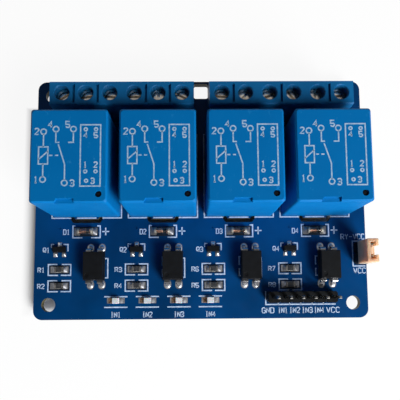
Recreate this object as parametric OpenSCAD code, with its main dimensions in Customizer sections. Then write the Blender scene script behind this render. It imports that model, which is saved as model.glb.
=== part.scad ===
// Relay module board: four relays, the parts that drive them, and their screw terminals.
// All lengths are in millimetres. The origin is in the plane of the cut pin ends, under the
// middle of the board: +X runs to the right along the terminals, +Y points to the terminals
// and +Z stands up out of the board.

/* [Board] */
// Width of the board, left to right
board_w = 75; // [74:0.5:90]
// Depth of the strip of board in front of the relays
front_strip = 23.15; // [22.5:0.05:30]
// Gap between the relays and the terminal blocks
row_gap = 3.05; // [1:0.05:5]
// Thickness of the board
board_t = 1.6; // [0.8:0.1:2.4]
// Radius of the board's corners
corner_r = 2; // [0.5:0.1:3]
// Distance from each mounting hole's centre to the two edges beside it
hole_inset = 3.35; // [2.6:0.05:3.6]
// Diameter of the mounting holes
hole_d = 3.1; // [2.2:0.1:3.3]
// Length of the cut pin ends below the board
tail = 2; // [1.4:0.1:3]
// Width of the milled isolation slots
slot_w = 0.9; // [0.6:0.1:1.2]
// Front to back length of the opening between the two terminal groups
relief_l = 3.6; // [1.5:0.1:4.5]
// Strip of board left behind that opening
relief_web = 0.5; // [0.4:0.1:1.5]

/* [Channels] */
// Distance from one channel to the next
channel_pitch = 17.3; // [16.5:0.1:18]
// How far the row of channels stands right of the board's middle
channel_x = 0.1; // [-0.5:0.1:0.5]

/* [Relays] */
// Width of a relay at its foot
relay_w = 15.3; // [15:0.1:15.8]
// Front to back length of a relay at its foot
relay_l = 18.9; // [17.5:0.1:20.5]
// Height of a relay above the board
relay_h = 15.7; // [14.6:0.1:18]
// How much narrower a relay is at its top, on each side
case_draft = 0.1; // [0.05:0.05:0.3]
// Thickness of the relay case's walls
case_wall = 0.8; // [0.5:0.05:0.9]
// Thickness of the relay case's top
case_top = 0.9; // [0.6:0.1:1.4]
// Radius of the relay case's upright corners
case_r = 0.6; // [0.3:0.1:1]
// Bevel round the top of the relay case
case_bevel = 0.35; // [0.1:0.05:0.5]
// Width of the notch in the top front edge of the case
notch_w = 3.4; // [2:0.1:5]
// Depth of that notch, front to back
notch_l = 0.9; // [0.4:0.1:1.2]
// Diameter of the vent dimple in the top of the case
vent_d = 1.3; // [0.6:0.1:1.8]

/* [Relay works] */
// Height of the base plate's feet
base_lift = 0.3; // [0.1:0.05:0.5]
// Thickness of the base plate
base_t = 1.4; // [1:0.1:2]
// Thickness of the iron of the yoke
yoke_t = 1.1; // [0.8:0.1:1.2]
// Width of the yoke
yoke_w = 9; // [7:0.1:10]
// Diameter of the iron core
core_d = 3.4; // [2.4:0.1:3.8]
// Diameter of the pole face on top of the core
pole_d = 7; // [5:0.1:7.4]
// Outer diameter of the coil's winding
winding_d = 9.2; // [7:0.1:9.6]
// Thickness of the bobbin's two flanges
flange_t = 0.7; // [0.5:0.1:1]
// Thickness of the armature
armature_t = 0.9; // [0.6:0.05:1.1]
// Angle through which the armature swings, in degrees
armature_swing = 2.5; // [1.5:0.1:2.8]
// Thickness of the contact leaf on the armature
leaf_t = 0.25; // [0.15:0.05:0.35]
// Diameter of the contacts
contact_d = 1.6; // [1.2:0.1:2]
// Thickness of the strip that the relay's pins are cut from
blade_t = 0.4; // [0.3:0.05:0.5]

/* [Terminals] */
// Distance between neighbouring screws of a terminal block
term_pitch = 5; // [4.9:0.02:5.08]
// How much longer a block is than its screws need
block_extra = 0.1; // [0:0.02:0.2]
// Gap between the left and the right group of blocks
group_gap = 3.3; // [2.4:0.1:4]
// How far the middle of that gap stands right of the board's middle
gap_x = 0.3; // [-0.5:0.1:0.5]
// Distance from the back edge of the board to the wire side of the blocks
term_inset = 2.5; // [1:0.1:3]
// Front to back depth of a block at its foot
block_d = 7.4; // [7:0.1:8]
// Front to back depth of a block's top face
block_top_d = 4.95; // [4.8:0.05:5.6]
// Height of a block above the board
block_h = 10.4; // [9.8:0.1:12]
// Height at which the wire side starts to slope
slope_z = 5.2; // [4.8:0.1:6]
// Distance from the relay side of a block to its screws
screw_y = 2.6; // [2.5:0.05:2.8]
// Diameter of the openings over the screws
well_d = 3.1; // [2.9:0.05:3.3]
// Width of a wire entry
wire_w = 3.4; // [2.6:0.1:3.6]
// Height of a wire entry
wire_h = 3.1; // [2.5:0.1:3.3]
// Thickness of the wall on the relay side of a block
block_wall = 0.55; // [0.45:0.05:0.65]
// Thickness of the walls between the screws' cells
cell_wall = 1.1; // [0.8:0.1:1.2]

/* [Terminal metalwork] */
// Diameter of the screws' heads
head_d = 3.4; // [3.3:0.05:3.6]
// Thickness of the screws' heads
head_h = 1.1; // [1:0.1:1.2]
// Depth of the screws' heads below the top of the block
head_sunk = 2.2; // [1.8:0.1:2.3]
// Diameter of the screws' threads
thread_d = 2.3; // [2:0.1:2.4]
// How far a clamp rises as its screw is driven home
clamp_travel = 1.5; // [1:0.1:1.5]
// Thickness of the clamps' threaded top
clamp_top = 1; // [0.8:0.05:1.1]
// Thickness of the clamps' sides
clamp_wall = 0.45; // [0.35:0.05:0.5]
// Height of the fixed contact bar's underside above the board
bar_z = 3.5; // [3.2:0.05:3.6]
// Thickness of the fixed contact bar
bar_t = 0.7; // [0.5:0.05:0.75]
// Width of the fixed contact bar
bar_w = 2.2; // [1.8:0.1:2.4]
// Width of the solder pins
term_pin_w = 1; // [0.8:0.05:1.1]
// Thickness of the solder pins' strip
term_pin_t = 0.35; // [0.25:0.05:0.35]

/* [Optocouplers] */
// Distance from the front edge of the board to the middle of the optocouplers
opto_front = 11.85; // [11:0.05:12.5]
// How far each optocoupler stands right of its relay's middle
opto_x = 2.3; // [1.8:0.1:2.8]
// Width of an optocoupler's body
opto_w = 4.6; // [4:0.1:5]
// Length of an optocoupler's body
opto_l = 6.4; // [6:0.1:6.8]
// Thickness of an optocoupler's body
opto_h = 3.4; // [3:0.1:3.8]
// Height of an optocoupler's body above the board
opto_lift = 0.5; // [0.2:0.1:1]
// Distance between an optocoupler's two rows of leads
opto_rows = 7.62; // [7.4:0.02:8]
// Distance between the leads in a row, and between the headers' pins
pin_pitch = 2.54; // [2.5:0.01:2.6]

/* [Small parts] */
// Distance from the front of the relays to the diodes
diode_gap = 3.35; // [2.5:0.05:3.8]
// Length of a diode
diode_l = 3.5; // [3:0.1:3.8]
// Diameter of a diode's end caps
diode_d = 1.5; // [1.2:0.1:1.7]
// Distance from the front edge of the board to the transistors
transistor_front = 15.7; // [15:0.1:16.2]
// Distance from the front edge of the board to the nearer row of resistors
resistor_front = 7.55; // [7:0.05:8]
// Distance between the two rows of resistors
resistor_rows = 3.65; // [3.2:0.05:4]
// Length of a resistor or an indicator light
chip_l = 2; // [1.6:0.1:2.2]
// Width of a resistor or an indicator light
chip_w = 1.25; // [0.8:0.05:1.4]
// Distance from the front edge of the board to the indicator lights
led_front = 4.2; // [3.6:0.1:4.6]
// Distance between the indicator lights
led_pitch = 7.05; // [6:0.05:7.5]

/* [Headers and jumper] */
// Distance from the front edge of the board to the input header
input_front = 4.7; // [4:0.1:5]
// Distance from the right edge of the board to the input header's middle
input_inset = 15.15; // [14.5:0.05:15.5]
// Distance from the front edge of the board to the middle of the supply header
supply_front = 14.4; // [14:0.1:15.5]
// Distance from the right edge of the board to the supply header's pins
supply_inset = 1.6; // [1.5:0.05:2]
// Width and height of the headers' plastic
header_w = 2.5; // [2.3:0.02:2.54]
// Side of the square header pins
pin_side = 0.64; // [0.5:0.02:0.7]
// Length of the input pins above their plastic
input_post = 6; // [4:0.1:8]
// Length of the supply pins above their plastic
supply_post = 5.3; // [4:0.1:6]
// Length of the jumper cap, along its two pins
cap_l = 5; // [4.8:0.05:5.1]
// Width of the jumper cap
cap_w = 2.45; // [2.3:0.05:2.54]
// Height of the jumper cap
cap_h = 5.6; // [5.4:0.1:6.5]
// Width of the finger notch in the side of the jumper cap
grip_w = 1.9; // [1:0.1:2]
// Depth of that notch
grip_d = 1.3; // [0.5:0.1:1.4]

/* [Clearances] */
// Gap round a fixed part that drops into another
fit = 0.1; // [0.05:0.01:0.12]
// Gap between parts that slide or turn past each other
play = 0.05; // [0.03:0.01:0.08]

/* [Hidden] */
$fn = 40;
eps = 0.01;             // overrun of a cut past the face that it opens
channels = 4;
block_ways = [3, 3, 2, 2, 2];   // screws in each block, left to right
left_blocks = 2;                // how many of the blocks stand left of the gap
input_pins = 6;
supply_pins = 2;
screw_turns = [32, 8, -6, 0, 92, -26, -4, 48, 18, -52, 95, 6];  // where each slot points

// Levels above the pin ends.
board_top = tail + board_t;

// Front to back: the rows of parts give the board its depth.
board_d = front_strip + relay_l + row_gap + block_d + term_inset;
back_edge = board_d / 2;
front_edge = -board_d / 2;
relay_y = front_edge + front_strip + relay_l / 2;

function channel_at(c) = channel_x + (c - (channels - 1) / 2) * channel_pitch;
function sum_to(list, n) = n <= 0 ? 0 : list[n - 1] + sum_to(list, n - 1);

// Terminal blocks: each block's length, left end and screw places.
block_lengths = [for (ways = block_ways) ways * term_pitch + block_extra];
block_count = len(block_ways);
left_end = gap_x - group_gap / 2 - sum_to(block_lengths, left_blocks);
function block_at(b) = left_end + sum_to(block_lengths, b) + (b >= left_blocks ? group_gap : 0);
function way_in(b, k) = block_lengths[b] / 2 + (k - (block_ways[b] - 1) / 2) * term_pitch;
ways_x = [for (b = [0 : block_count - 1]) for (k = [0 : block_ways[b] - 1]) block_at(b) + way_in(b, k)];
term_y = back_edge - term_inset - block_d;      // the blocks' relay side

// Terminal metalwork, above the board: the screw's point stands on the fixed bar, and the
// clamp hangs round bar and screw and is drawn up by the thread.
bar_top = bar_z + bar_t;
head_top = block_h - head_sunk;
head_bottom = head_top - head_h;
cell_top = head_bottom - play;
cell_w = term_pitch - cell_wall;
leg_y = block_wall;                             // near face of the contact's upright leg
clamp_y = leg_y + term_pin_t + fit;
clamp_l = 2 * (screw_y - clamp_y);
clamp_floor = 0.7;                              // thickness of the clamp's floor
clamp_low = 0.3;                                // height of an open clamp above the board
clamp_high = bar_top + play + clamp_top;        // top of an open clamp
clamp_w = bar_w + 4 * fit + 2 * clamp_wall;
cell_l = clamp_y + clamp_l + 2 * fit - block_wall;

// Relay works, above the board. Heights are worked out downwards from the case's ceiling.
ceiling = relay_h - case_top;
button_h = 0.25;                                // height of a contact above its carrier
nc_top = ceiling - 2 * fit;                     // top of the upper fixed contact's arm
nc_face = nc_top - blade_t - button_h;          // its contact face
leaf_top = nc_face - play - button_h;
armature_top = leaf_top - leaf_t;
armature_under = armature_top - armature_t;
yoke_top = armature_under - play;
base_top = base_lift + base_t;
yoke_z = base_top + play;
works_w = relay_w / 2 - case_wall;              // half the room inside the case
works_l = relay_l / 2 - case_wall;
hinge_inset = 1.6;                              // from the case's front wall to the hinge edge
contact_inset = 1.75;                           // from the case's back wall to the contacts
coil_shift = 0.525;                             // how far the coil stands nearer to the hinge
hinge_y = -works_l + hinge_inset;               // from the relay's middle, as the next two
contact_y = works_l - contact_inset;
coil_y = (hinge_y + contact_y) / 2 - coil_shift;
pole_top = armature_under - (coil_y + pole_d / 2 - hinge_y) * sin(armature_swing) - play;
pole_t = 0.6;                                   // thickness of the pole face
bobbin_z = yoke_z + yoke_t + play;
bobbin_top = pole_top - pole_t - play;
barrel_wall = 0.6;
barrel_d = core_d + 2 * (fit + barrel_wall);    // outer diameter of the bobbin's barrel
no_face = armature_top - button_h - (contact_y - hinge_y) * sin(armature_swing) - play;
no_top = no_face - button_h;

// Relay pins, from the relay's middle: [x, y, size along x, size along y].
side_pin_inset = 0.85;                          // from the case's side wall to a pin's middle
side_pin_x = works_w - side_pin_inset;
blade_w = 1;                                    // width of the contacts' pins
coil_blade_w = 0.6;                             // width of the coil's pins
coil_pin_y = hinge_y + 1.9;
contact_pin_y = contact_y + 0.15;
com_pin = [0, hinge_y - 0.1, blade_w, blade_t];
coil_pins = [for (side = [-1, 1]) [side * side_pin_x, coil_pin_y, blade_t, coil_blade_w]];
no_pin = [-side_pin_x, contact_pin_y, blade_t, blade_w];
nc_pin = [side_pin_x, contact_pin_y, blade_t, blade_w];
relay_pin_set = concat([com_pin, no_pin, nc_pin], coil_pins);

// Optocoupler leads, from the body's middle.
lead_t = 0.25;
lead_w = 0.5;                                   // width of a lead where it enters the board
lead_shoulder_w = 1.2;                          // its width where it leaves the body
opto_lead_set = [for (side = [-1, 1]) for (row = [-1, 1])
    [side * pin_pitch / 2, row * opto_rows / 2, lead_w, lead_t]];
opto_y = front_edge + opto_front;

// Places of the other parts.
diode_y = front_edge + front_strip - diode_gap;
transistor_y = front_edge + transistor_front;
resistor_y = front_edge + resistor_front;
led_y = front_edge + led_front;
diode_x = -0.15;                                // from the channel's middle
chip_x = -5.95;                                 // resistors and transistors, likewise
transistor_w = 2.9;
transistor_l = 1.3;
transistor_h = 0.95;                            // thickness of its body
transistor_lift = 0.1;                          // height of its body above the board
first_led_x = -19.1;                            // leftmost indicator light
input_x = board_w / 2 - input_inset;
input_y = front_edge + input_front;
supply_x = board_w / 2 - supply_inset;
supply_y = front_edge + supply_front;
cap_z = board_top + header_w + play;            // underside of the jumper cap
socket_h = cap_h / 2 + 0.2;                     // height of the clip's chamber in the cap
pin_window = pin_side + 0.4;                    // side of the cap's two top openings
clip_t = 0.2;                                   // thickness of the clip's strip
clip_w = pin_side + 2 * play + 2 * clip_t;

// Every soldered pin: [x, y, size along x, size along y, drilled diameter].
drill_room = 0.3;                               // how much wider a drilled hole is than its pin
post_drill = 1.05;                              // drilled diameter for the square header pins
relay_sites = [for (c = [0 : channels - 1]) for (p = relay_pin_set)
    [channel_at(c) + p.x, relay_y + p.y, p[2], p[3], blade_w + drill_room]];
term_sites = [for (x = ways_x)
    [x, term_y + leg_y + term_pin_t / 2, term_pin_w, term_pin_t, term_pin_w + drill_room]];
opto_sites = [for (c = [0 : channels - 1]) for (p = opto_lead_set)
    [channel_at(c) + opto_x + p.x, opto_y + p.y, p[2], p[3], lead_w + drill_room]];
function post_at(count, k) = (k - (count - 1) / 2) * pin_pitch;
input_sites = [for (k = [0 : input_pins - 1])
    [input_x + post_at(input_pins, k), input_y, pin_side, pin_side, post_drill]];
supply_sites = [for (k = [0 : supply_pins - 1])
    [supply_x, supply_y + post_at(supply_pins, k), pin_side, pin_side, post_drill]];
pin_sites = concat(relay_sites, term_sites, opto_sites, input_sites, supply_sites);
solder_h = 0.9;                                 // height of a solder cone

// U-shaped slot round each common pin, from the relay's middle, one half of it.
slot_front = -relay_l / 2 - 0.95;
slot_back = hinge_y + 2.65;
slot_foot = 2.8;                                // half the width of its straight front
slot_side = 4;                                  // from the middle to its legs
slot_rise = 1.7;                                // front to back length of its slanted corners
slot_half = [[0, slot_front], [slot_foot, slot_front], [slot_side, slot_front + slot_rise],
    [slot_side, slot_back]];

// Plate with rounded corners, centred on the origin and standing on z = 0.
module rounded_plate(w, d, r, h) {
    linear_extrude(h) union() {
        square([w - 2 * r, d], center = true);
        square([w, d - 2 * r], center = true);
        for (sx = [-1, 1], sy = [-1, 1])
            translate([sx * (w / 2 - r), sy * (d / 2 - r)]) circle(r);
    }
}

// Box centred in x and y, from level z0 up to level z1.
module slab(w, d, z0, z1) {
    translate([-w / 2, -d / 2, z0]) cube([w, d, z1 - z0]);
}

// Cutter that mills one straight stretch of a slot from a to b.
module milled_stretch(a, b, w, h) {
    along = b - a;
    translate([a.x, a.y, 0]) cylinder(d = w, h = h);
    translate([b.x, b.y, 0]) cylinder(d = w, h = h);
    translate([a.x, a.y, 0]) rotate([0, 0, atan2(along.y, along.x)])
        translate([0, -w / 2, 0]) cube([norm(along), w, h]);
}

module isolation_slot() {
    for (side = [-1, 1], k = [0 : len(slot_half) - 2])
        milled_stretch([side * slot_half[k].x, slot_half[k].y],
            [side * slot_half[k + 1].x, slot_half[k + 1].y], slot_w, board_t + 2 * eps);
}

// The board: outline, mounting holes, drilled pin holes and milled slots.
module circuit_board() {
    relief_r = 0.5;
    color("#12609c") translate([0, 0, tail]) difference() {
        rounded_plate(board_w, board_d, corner_r, board_t);
        translate([0, 0, -eps]) {
            for (sx = [-1, 1], sy = [-1, 1])
                translate([sx * (board_w / 2 - hole_inset), sy * (back_edge - hole_inset), 0])
                    cylinder(d = hole_d, h = board_t + 2 * eps);
            for (s = pin_sites)
                translate([s.x, s.y, 0]) cylinder(d = s[4], h = board_t + 2 * eps, $fn = 24);
            for (c = [0 : channels - 1])
                translate([channel_at(c), relay_y, 0]) isolation_slot();
            translate([gap_x, back_edge - relief_web - relief_l / 2, 0])
                rounded_plate(group_gap, relief_l, relief_r, board_t + 2 * eps);
        }
    }
}

// Outline of a block's end: upright relay side, flat top, and a slope down to the wire side.
module block_profile() {
    edge = 0.25;        // bevel along the relay side
    polygon([[0, 0], [0, block_h - edge], [edge, block_h], [block_top_d, block_h],
        [block_d, slope_z], [block_d, 0]]);
}

// Tapered mouth of a wire entry, cut inwards from the block's wire side.
module wire_mouth(x) {
    mouth = 0.35;       // how far it widens on each side
    depth = 0.9;
    z0 = clamp_low + clamp_floor;
    translate([x, block_d, z0]) intersection() {
        translate([0, 0, -mouth - eps]) linear_extrude(wire_h + 2 * mouth + 2 * eps)
            polygon([[-wire_w / 2, -depth], [wire_w / 2, -depth],
                [wire_w / 2 + mouth, eps], [-wire_w / 2 - mouth, eps]]);
        rotate([90, 0, 90]) translate([0, 0, -term_pitch / 2]) linear_extrude(term_pitch)
            polygon([[-depth, 0], [eps, -mouth], [eps, wire_h + mouth], [-depth, wire_h]]);
    }
}

// What is cut for one screw: well, head bore, cell for clamp and contact, and wire entry.
module cell_cut(x) {
    lip = 1;        // plastic left over the screw's head
    rim = 0.15;     // bevel round the well's mouth
    translate([x, screw_y, 0]) {
        translate([0, 0, cell_top - eps]) cylinder(d = head_d + 3 * fit, h = block_h - lip - cell_top);
        translate([0, 0, cell_top]) cylinder(d = well_d, h = block_h);
        translate([0, 0, block_h - rim])
            cylinder(d1 = well_d, d2 = well_d + 2 * (rim + eps), h = rim + eps);
    }
    translate([x - cell_w / 2, block_wall, -eps]) cube([cell_w, cell_l, cell_top + eps]);
    translate([x - wire_w / 2, block_wall + cell_l - eps, clamp_low + clamp_floor])
        cube([wire_w, block_d, wire_h]);
    wire_mouth(x);
}

// One housing, with a shallow dividing groove on its top between neighbouring screws.
module terminal_block(b) {
    groove_w = 0.5;
    groove_l = 4;
    groove_h = 0.8;
    length = block_lengths[b];
    color("#2277ad") translate([block_at(b), term_y, board_top]) difference() {
        rotate([90, 0, 90]) linear_extrude(length) block_profile();
        for (k = [0 : block_ways[b] - 1])
            cell_cut(way_in(b, k));
        for (k = [1 : block_ways[b] - 1])
            translate([way_in(b, k) - term_pitch / 2, block_top_d / 2, block_h - groove_h])
                slab(groove_w, groove_l, 0, groove_h + eps);
    }
}

// Slotted screw: its point stands on the fixed contact bar.
module terminal_screw(s) {
    shank = head_bottom - bar_top - play;
    slot_depth = 0.6;
    slot_width = 0.55;
    point = 0.3;        // bevel at the screw's end
    head_rim = 0.2;     // bevel round its head
    color("#b9b6b0") translate([ways_x[s], term_y + screw_y, board_top + bar_top + play])
        difference() {
            union() {
                cylinder(d1 = thread_d - 2 * point, d2 = thread_d, h = point);
                translate([0, 0, point]) cylinder(d = thread_d, h = shank - point);
                translate([0, 0, shank]) cylinder(d = head_d, h = head_h - head_rim);
                translate([0, 0, shank + head_h - head_rim])
                    cylinder(d1 = head_d, d2 = head_d - 2 * head_rim, h = head_rim);
            }
            rotate([0, 0, screw_turns[s]])
                slab(head_d + 1, slot_width, shank + head_h - slot_depth, shank + head_h + eps);
        }
}

// Rising clamp: a square sleeve round the bar, threaded on the screw through its top.
module terminal_clamp(s) {
    color("#c9c4b4") translate([ways_x[s], term_y + screw_y, board_top]) difference() {
        slab(clamp_w, clamp_l, clamp_low, clamp_high);
        slab(clamp_w - 2 * clamp_wall, clamp_l + 1, clamp_low + clamp_floor, clamp_high - clamp_top);
        cylinder(d = thread_d + 2 * fit, h = clamp_high + eps);
    }
}

// Fixed contacts: a bar over the wire, an upright leg and a solder pin, from one strip each.
module terminal_contacts() {
    bar_l = clamp_y + clamp_l - leg_y;
    color("#cfc9b8") for (x = ways_x)
        translate([x, term_y, board_top]) {
            translate([-bar_w / 2, leg_y, bar_z]) cube([bar_w, bar_l, bar_t]);
            translate([-bar_w / 2, leg_y, 0]) cube([bar_w, term_pin_t, bar_z + bar_t / 2]);
            translate([-term_pin_w / 2, leg_y, -board_top])
                cube([term_pin_w, term_pin_t, board_top + bar_z]);
        }
}

// Box with rounded upright corners and a bevelled top, narrower at the top by the draft.
module drafted_box(w, l, h, r, draft, bevel) {
    hull() for (sx = [-1, 1], sy = [-1, 1], level = [0, 1, 2]) {
        inset = level == 0 ? 0 : level == 1 ? draft : draft + bevel;
        z = level == 0 ? 0 : level == 1 ? h - bevel - eps : h - eps;
        translate([sx * (w / 2 - r - inset), sy * (l / 2 - r - inset), z])
            cylinder(r = r, h = eps, $fn = 24);
    }
}

// Moulded cover of a relay, open below, with its top notch and vent dimple.
module relay_case(c) {
    vent_inset = 1.7;   // from the top's two edges to the dimple's middle
    vent_deep = 0.6;
    notch_drop = 0.7;   // how deep the notch goes below the top
    notch_x = -0.6;     // the notch's place, from the relay's middle
    notch_slant = 0.5;  // how far its left side slants outwards
    top_l = relay_l - 2 * case_draft;
    color("#19a5dc") translate([channel_at(c), relay_y, board_top]) difference() {
        drafted_box(relay_w, relay_l, relay_h, case_r, case_draft, case_bevel);
        translate([0, 0, -eps]) drafted_box(relay_w - 2 * case_wall, relay_l - 2 * case_wall,
            ceiling + eps, case_r / 2, case_draft, case_bevel);
        translate([notch_x, -top_l / 2, relay_h - notch_drop]) linear_extrude(notch_drop + 1)
            polygon([[-notch_w / 2 - notch_slant, -1], [-notch_w / 2 - notch_slant, 0],
                [-notch_w / 2, notch_l], [notch_w / 2, notch_l], [notch_w / 2, -1]]);
        translate([relay_w / 2 - vent_inset - case_draft, -top_l / 2 + vent_inset, relay_h - vent_deep])
            cylinder(d = vent_d, h = 1);
    }
}

// Base plates: each closes its case and stands on four short feet, with a slot for each pin.
module relay_bases() {
    plate_w = relay_w - 2 * case_wall - 2 * fit;
    plate_l = relay_l - 2 * case_wall - 2 * fit;
    foot_d = 1.2;
    foot_y = works_l - 1.05;
    front_foot_x = works_w - 0.95;
    back_foot_x = 3.2;      // clear of the contacts' pins
    feet = [[-front_foot_x, -foot_y], [front_foot_x, -foot_y], [-back_foot_x, foot_y], [back_foot_x, foot_y]];
    color("#1b3c55") for (c = [0 : channels - 1])
        translate([channel_at(c), relay_y, board_top]) {
            difference() {
                translate([0, 0, base_lift]) rounded_plate(plate_w - 2 * case_draft * base_top / relay_h,
                    plate_l - 2 * case_draft * base_top / relay_h, case_r / 2, base_t);
                for (p = relay_pin_set)
                    translate([p.x, p.y, 0])
                        slab(p[2] + 2 * play, p[3] + 2 * play, 0, base_top + 1);
            }
            for (f = feet)
                translate([f.x, f.y, 0]) cylinder(d = foot_d, h = base_lift);
        }
}

// Iron yoke with its core: foot under the coil, upright leg, and pole face on top.
module relay_yokes() {
    leg_back = hinge_y - yoke_t / 2;
    foot_l = coil_y + pole_d / 2 - leg_back;
    color("#8d9094") for (c = [0 : channels - 1])
        translate([channel_at(c), relay_y, board_top]) {
            translate([-yoke_w / 2, leg_back, yoke_z]) cube([yoke_w, foot_l, yoke_t]);
            translate([-yoke_w / 2, leg_back, yoke_z]) cube([yoke_w, yoke_t, yoke_top - yoke_z]);
            translate([0, coil_y, yoke_z]) cylinder(d = core_d, h = pole_top - yoke_z);
            translate([0, coil_y, pole_top - pole_t]) cylinder(d = pole_d, h = pole_t);
        }
}

// Bobbin: barrel round the core between two square flanges.
module relay_bobbins() {
    lower_w = 2 * (coil_pins[1].x - blade_t / 2 - fit);
    upper_w = winding_d + 0.4;
    color("#d8d6cc") for (c = [0 : channels - 1])
        translate([channel_at(c), relay_y + coil_y, board_top]) difference() {
            union() {
                slab(lower_w, upper_w, bobbin_z, bobbin_z + flange_t);
                slab(upper_w, upper_w, bobbin_top - flange_t, bobbin_top);
                translate([0, 0, bobbin_z]) cylinder(d = barrel_d, h = bobbin_top - bobbin_z);
            }
            translate([0, 0, bobbin_z - 1]) cylinder(d = core_d + 2 * fit, h = bobbin_top);
        }
}

// Copper winding on each bobbin, as one solid ring.
module relay_windings() {
    color("#b06a35") for (c = [0 : channels - 1])
        translate([channel_at(c), relay_y + coil_y, board_top + bobbin_z + flange_t + play])
            difference() {
                length = bobbin_top - bobbin_z - 2 * flange_t - 2 * play;
                cylinder(d = winding_d, h = length);
                translate([0, 0, -1]) cylinder(d = barrel_d + 2 * play, h = length + 2);
            }
}

// Armature with its contact leaf: it rocks on the top edge of the yoke.
module relay_armature(c) {
    overhang = 0.4;         // iron past the hinge edge
    near = hinge_y - overhang;
    far = coil_y + pole_d / 2 + 0.3;
    side = 0.3;             // how much narrower it is than the yoke, on each side
    leaf_near = -4;
    leaf_w = 3;
    rivet_d = 1.3;
    rivet_places = [-2.4, 1.6];
    color("#a5a8ab") translate([channel_at(c), relay_y, board_top]) {
        translate([-yoke_w / 2 + side, near, armature_under])
            cube([yoke_w - 2 * side, far - near, armature_t]);
        translate([-leaf_w / 2, leaf_near, armature_top])
            cube([leaf_w, contact_y + contact_d / 2 + 0.3 - leaf_near, leaf_t]);
        translate([0, contact_y, armature_top - button_h])
            cylinder(d = contact_d, h = leaf_t + 2 * button_h, $fn = 24);
        for (y = rivet_places)
            translate([0, y, armature_top]) cylinder(d = rivet_d, h = leaf_t + button_h, $fn = 24);
    }
}

// Arm of a fixed contact: it reaches from its pin to the middle of the relay.
module fixed_contact(pin, arm_top, face_up) {
    reach = abs(pin.x) + contact_d / 2 + 0.2;
    toward = pin.x < 0 ? 1 : -1;
    arm_w = 1.2;
    translate([pin.x, pin.y, 0]) slab(pin[2], pin[3], -board_top, arm_top);
    translate([pin.x + toward * (reach - blade_t) / 2, contact_y, 0])
        slab(reach, arm_w, arm_top - blade_t, arm_top);
    translate([0, contact_y, face_up ? arm_top : arm_top - blade_t - button_h])
        cylinder(d = contact_d, h = button_h, $fn = 24);
}

// All the relays' pins: common, coil and the two fixed contacts.
module relay_pins() {
    color("#c8c2a8") for (c = [0 : channels - 1])
        translate([channel_at(c), relay_y, board_top]) {
            translate([com_pin.x, com_pin.y, 0]) slab(com_pin[2], com_pin[3], -board_top, yoke_z);
            for (p = coil_pins)
                translate([p.x, p.y, 0]) slab(p[2], p[3], -board_top, bobbin_z + flange_t);
            fixed_contact(no_pin, no_top, true);
            fixed_contact(nc_pin, nc_top, false);
        }
}

// Optocoupler bodies, widest at the leads, each with a first-pin dimple.
module optocouplers() {
    taper = 0.22;
    dimple_d = 0.9;
    dimple_deep = 0.15;
    dimple = [-opto_w / 2 + 1, -opto_l / 2 + 1.1, opto_h - dimple_deep];
    color("#24262b") for (c = [0 : channels - 1])
        translate([channel_at(c) + opto_x, opto_y, board_top + opto_lift]) difference() {
            hull() {
                slab(opto_w - 2 * taper, opto_l - 2 * taper, 0, eps);
                slab(opto_w, opto_l, opto_h / 2 - lead_t / 2, opto_h / 2 + lead_t / 2);
                slab(opto_w - 2 * taper, opto_l - 2 * taper, opto_h - eps, opto_h);
            }
            translate(dimple) cylinder(d = dimple_d, h = 1);
        }
}

// Leads: a wide shoulder leaves the body, turns down and narrows above the board.
module optocoupler_leads() {
    shoulder_z = opto_lift + opto_h / 2 - lead_t / 2;
    step_z = 0.7;       // where the lead narrows
    color("#c9cacb") for (c = [0 : channels - 1], p = opto_lead_set)
        translate([channel_at(c) + opto_x + p.x, opto_y, board_top])
            mirror([0, p.y < 0 ? 1 : 0, 0]) {
                outer = opto_rows / 2 + lead_t / 2;
                translate([-lead_shoulder_w / 2, opto_l / 2, shoulder_z])
                    cube([lead_shoulder_w, outer - opto_l / 2, lead_t]);
                translate([0, opto_rows / 2, 0]) {
                    slab(lead_shoulder_w, lead_t, step_z, shoulder_z + lead_t);
                    slab(lead_w, lead_t, -board_top, step_z + eps);
                }
            }
}

// Glass diodes with metal end caps, turned about their own length.
module diodes() {
    cap = 0.45;
    glass_d = diode_d - 0.12;
    color("#c98a5a") for (c = [0 : channels - 1])
        translate([channel_at(c) + diode_x - diode_l / 2, diode_y, board_top + diode_d / 2])
            rotate([0, 90, 0]) union() {
                cylinder(d = diode_d, h = cap);
                translate([0, 0, cap]) cylinder(d = glass_d, h = diode_l - 2 * cap);
                translate([0, 0, diode_l - cap]) cylinder(d = diode_d, h = cap);
            }
}

// Transistor bodies, clear of the board on their leads.
module transistors() {
    taper = 0.12;
    color("#26272b") for (c = [0 : channels - 1])
        translate([channel_at(c) + chip_x, transistor_y, board_top + transistor_lift]) hull() {
            slab(transistor_w, transistor_l, 0, transistor_h / 2);
            slab(transistor_w - 2 * taper, transistor_l - 2 * taper, transistor_h / 2, transistor_h);
        }
}

// Gull-wing leads: two in front and one behind.
module transistor_leads() {
    foot_t = 0.12;
    lead = 0.42;        // width of a lead
    span = 2.4;         // from the front leads' ends to the back lead's end
    rise = transistor_lift + 0.45;
    side = 0.95;        // from the middle to a front lead
    color("#c9cacb") for (c = [0 : channels - 1], place = [[-side, -1], [side, -1], [0, 1]])
        translate([channel_at(c) + chip_x + place.x, transistor_y, board_top])
            mirror([0, place.y < 0 ? 1 : 0, 0]) {
                knee = transistor_l / 2 + 0.15;
                translate([-lead / 2, transistor_l / 2, rise - foot_t])
                    cube([lead, knee - transistor_l / 2 + foot_t, foot_t]);
                translate([-lead / 2, knee, 0]) cube([lead, foot_t, rise]);
                translate([-lead / 2, knee, 0]) cube([lead, span / 2 - knee, foot_t]);
            }
}

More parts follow.
